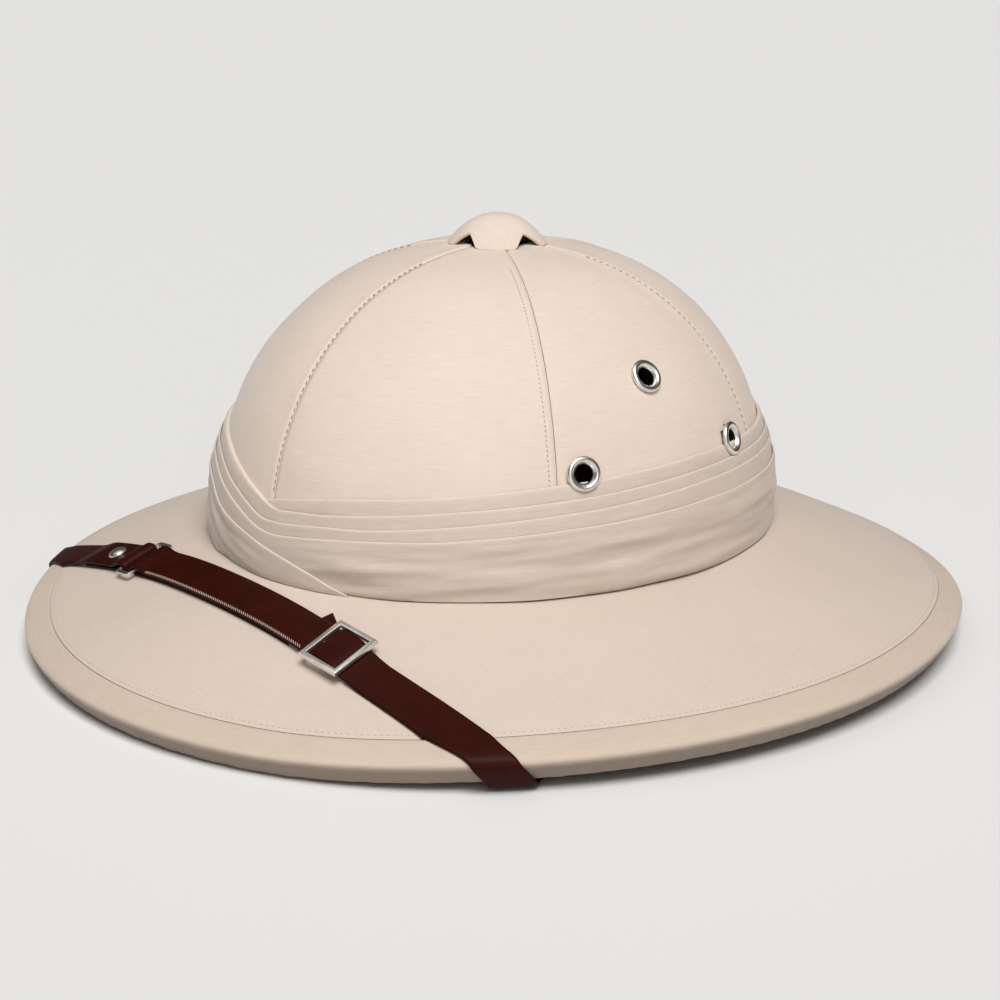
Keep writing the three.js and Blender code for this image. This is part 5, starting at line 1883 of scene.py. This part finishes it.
                # A mitred corner: one cross section on the diagonal.
                path.append(np.array([sx * half_x, sy * half_y]))
                tangents.append([sx, sy])
                continue
            centre = np.array([sx * (half_x - corner), sy * (half_y - corner)])
            for angle in np.linspace(90 * number, 90 * number + 90, 7):
                turn = math.radians(angle)
                path.append(centre + corner * np.array([math.cos(turn), math.sin(turn)]))
                tangents.append([math.cos(turn), math.sin(turn)])
        ease = min(bar, thickness) * 0.22
        hx, hz = bar / 2, thickness / 2
        section = [
            (hx, -hz + ease),
            (hx, hz - ease),
            (hx - 0.3 * ease, hz - 0.3 * ease),
            (hx - ease, hz),
            (-hx + ease, hz),
            (-hx + 0.3 * ease, hz - 0.3 * ease),
            (-hx, hz - ease),
            (-hx, -hz + ease),
            (-hx + ease, -hz),
            (hx - ease, -hz),
        ]
        count = len(section)
        points = []
        for centre, out in zip(path, tangents):
            for reach, rise in section:
                points.append([centre[0] + out[0] * reach, centre[1] + out[1] * reach, rise])
        grid = np.array(points) @ pose[:3, :3].T + pose[:3, 3]
        steps = len(path)
        faces = [
            [
                i * count + k,
                ((i + 1) % steps) * count + k,
                ((i + 1) % steps) * count + (k + 1) % count,
                i * count + (k + 1) % count,
            ]
            for i in range(steps)
            for k in range(count)
        ]
        mesh = bpy.data.meshes.new(name)
        mesh.from_pydata((grid * MM).tolist(), [], faces)
        weld(mesh, 1e-7, recalculated=True)
        finish_mesh(mesh, 30)
        return link(mesh, name)

    def stud(self, name: str, pose: np.ndarray, shank: float) -> bpy.types.Object:
        """A domed head on its shank."""
        dome = [
            (self.rivet_head * math.cos(a), self.rivet_dome * math.sin(a))
            for a in np.linspace(0, math.pi / 2, 10)
        ]
        dome[-1] = (0.0, self.rivet_dome)
        lip = [(self.rivet_head - 0.35, -0.02), (self.rivet_head - 0.08, 0.0)]
        profile = [(0.0, -shank), (self.rivet_shank, -shank), (self.rivet_shank, -0.02), *lip, *dome]
        return lathe(name, profile, pose, 40)

    def build_metal(self) -> None:
        """Builds the buckle, the ring, the rivet and the two tacks."""
        nickel = self.wardrobe.nickel
        pose = self.on_strap(self.buckle_place, self.buckle_height)
        sizes = (self.buckle_length, self.buckle_bar, self.buckle_thickness)
        buckle = self.frame_of_bars("buckle_frame", sizes, 0.0, self.metal_room, pose)
        dress(buckle, nickel, "nickel", "strap_buckle")
        pose = self.on_strap(self.buckle_place, self.bar_height)
        # The bar's axis is turned to lie along the strap, under its top layer.
        pose[:3, :3] = pose[:3, [1, 2, 0]]
        reach = self.width / 2 + self.metal_room + 0.3
        half = self.cross_bar / 2
        profile = [(0, -reach), (half, -reach), (half, reach), (0, reach)]
        dress(lathe("buckle_cross_bar", profile, pose, 16), nickel, "nickel")
        pose = self.on_strap(self.ring_place, self.ring_height)
        sizes = (self.ring_length, self.ring_bar, self.ring_thickness)
        ring = self.frame_of_bars("ring_frame", sizes, self.ring_corner, self.ring_room, pose)
        dress(ring, nickel, "nickel", "strap_ring")
        height = self.layer_two + self.thickness / 2 + FORM.gap
        pose = self.on_strap(self.rivet_place, height - 0.25)
        dress(self.stud("tab_rivet_dome", pose, height - FORM.gap), nickel, "nickel", "tab_rivet")
        for side in Side:
            here, down = self.anchor(side)
            seat = here + down * (self.layer_pitch + 2 * FORM.gap)
            pose = pose_of(seat, down, np.array([1.0, 0.0, 0.0]))
            shank = self.layer_pitch + 2 * FORM.gap + self.tack_depth
            word = side.name.lower()
            tack = self.stud(f"strap_tack_{word}_dome", pose, shank)
            dress(tack, nickel, "nickel", f"strap_tack_{word}")

    def sew_strap(self) -> None:
        """Lays the slanting stitches along the lower edge of the doubled stretch."""
        x = np.linspace(self.buckle_place - 13, self.loop_place + 8, 70)
        here, _, across, normal = self.frames(x)
        spots = here - across * (self.width / 2 - 0.75)
        under = FORM.brim_under(spots)[2]
        path = under + normal * (self.layer_two + self.thickness / 2 - 0.02)
        stitch = Stitch(pitch=1.1, length=2.2, width=0.4, height=0.3, lean=-38.0)
        thread = self.wardrobe.strap_thread
        self.stitches.sew("strap_edge_stitches", [(path, normal)], stitch, thread, "leather")

    def build(self) -> None:
        """Builds the straps, their metal and their stitches."""
        self.ribbon("strap_long_leather", self.long_lines(), "strap_long")
        self.ribbon("strap_tab_leather", self.tab_lines(), "strap_tab")
        self.build_metal()
        self.sew_strap()


@dataclass
class Set:
    """The plain floor, the soft lights and the camera."""

    floor_colour: str = "#E2E1DF"
    azimuth: float = 46.65
    elevation: float = 15.95
    distance: float = 0.93536
    target: tuple[float, float, float] = (0.0, 0.0, 0.060)
    focal_px: float = 2450.6
    frame_px: float = 1000.0
    target_px: tuple[float, float] = (500.16, 464.01)
    roll: float = 0.41

    def build(self) -> None:
        """Builds the set."""
        self.build_floor()
        self.build_lights()
        self.build_camera()

    def build_floor(self) -> None:
        """A wide pale floor of matt paper."""
        mesh = bpy.data.meshes.new("floor")
        half = 6.0
        mesh.from_pydata(
            [(-half, -half, 0), (half, -half, 0), (half, half, 0), (-half, half, 0)], [], [(0, 1, 2, 3)]
        )
        floor = link(mesh, "floor")
        made = bpy.data.materials.new("matt_paper")
        made.use_nodes = True
        shader = made.node_tree.nodes["Principled BSDF"]
        shader.inputs["Base Color"].default_value = linear(self.floor_colour)
        shader.inputs["Roughness"].default_value = 0.95
        mesh.materials.append(made)

    def build_lights(self) -> None:
        """A soft key from the front, two weaker lights, and a surround that is palest overhead."""
        bpy.context.scene.view_settings.view_transform = "Standard"
        world = bpy.data.worlds.new("surround")
        world.use_nodes = True
        tree = world.node_tree
        place = add_node(tree, "ShaderNodeTexCoord").outputs["Generated"]
        height = add_node(tree, "ShaderNodeSeparateXYZ", {"Vector": place}).outputs["Z"]
        fade = {"Value": height, "From Min": 0.0, "From Max": 0.65, "To Min": 0.2, "To Max": 0.7}
        bright = add_node(tree, "ShaderNodeMapRange", fade).outputs["Result"]
        tree.links.new(bright, tree.nodes["Background"].inputs["Strength"])
        bpy.context.scene.world = world
        for kind, place, spread, power in (
            (Studio.KEY, (0.8, -0.5, 1.7), 32.0, 2.9),
            (Studio.FILL, (1.1, -0.9, 0.75), 55.0, 0.65),
            (Studio.TOP, (-0.6, -0.5, 1.6), 50.0, 0.4),
        ):
            # Each is a wide disc so far away that the floor is lit evenly.
            light = bpy.data.lights.new(kind.value, "SUN")
            light.angle = math.radians(spread)
            light.energy = power
            made = bpy.data.objects.new(kind.value, light)
            made.location = place
            aim = Vector(self.target) - Vector(place)
            made.rotation_euler = aim.to_track_quat("-Z", "Y").to_euler()
            bpy.context.scene.collection.objects.link(made)

    def build_camera(self) -> None:
        """The camera, where the photograph was taken from."""
        camera = bpy.data.cameras.new("camera")
        camera.sensor_width = 36.0
        camera.lens = 36.0 * self.focal_px / self.frame_px
        camera.clip_end = 50
        camera.shift_x = (self.frame_px / 2 - self.target_px[0]) / self.frame_px
        camera.shift_y = (self.target_px[1] - self.frame_px / 2) / self.frame_px
        made = bpy.data.objects.new("camera", camera)
        turn, rise = math.radians(self.azimuth), math.radians(self.elevation)
        back = Vector(
            (math.sin(turn) * math.cos(rise), -math.cos(turn) * math.cos(rise), math.sin(rise))
        )
        made.location = Vector(self.target) + back * self.distance
        look = (-back).to_track_quat("-Z", "Y").to_matrix().to_4x4()
        made.matrix_world = (
            Matrix.Translation(made.location) @ look @ Matrix.Rotation(math.radians(self.roll), 4, "Z")
        )
        bpy.context.scene.collection.objects.link(made)
        bpy.context.scene.camera = made


def main() -> None:
    """Builds the set and the hat, piece by piece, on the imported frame."""
    logging.basicConfig(level=logging.INFO, format="%(message)s")
    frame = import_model()
    Set().build()
    wardrobe = Wardrobe()
    stitches = StitchRows()
    eyelets = Eyelets(wardrobe)
    Crown(wardrobe, stitches, list(eyelets.poses().values())).build()
    Brim(wardrobe, stitches).build()
    Puggaree(wardrobe, eyelets.low_poses()).build()
    VentCap(wardrobe).build()
    eyelets.build()
    ChinStrap(wardrobe, stitches).build()
    post = frame["nodes"]["vent_post"]
    post.data.materials.clear()
    post.data.materials.append(wardrobe.nickel)
    LOG.info("vent_post keeps its solid")


if __name__ == "__main__":
    main()
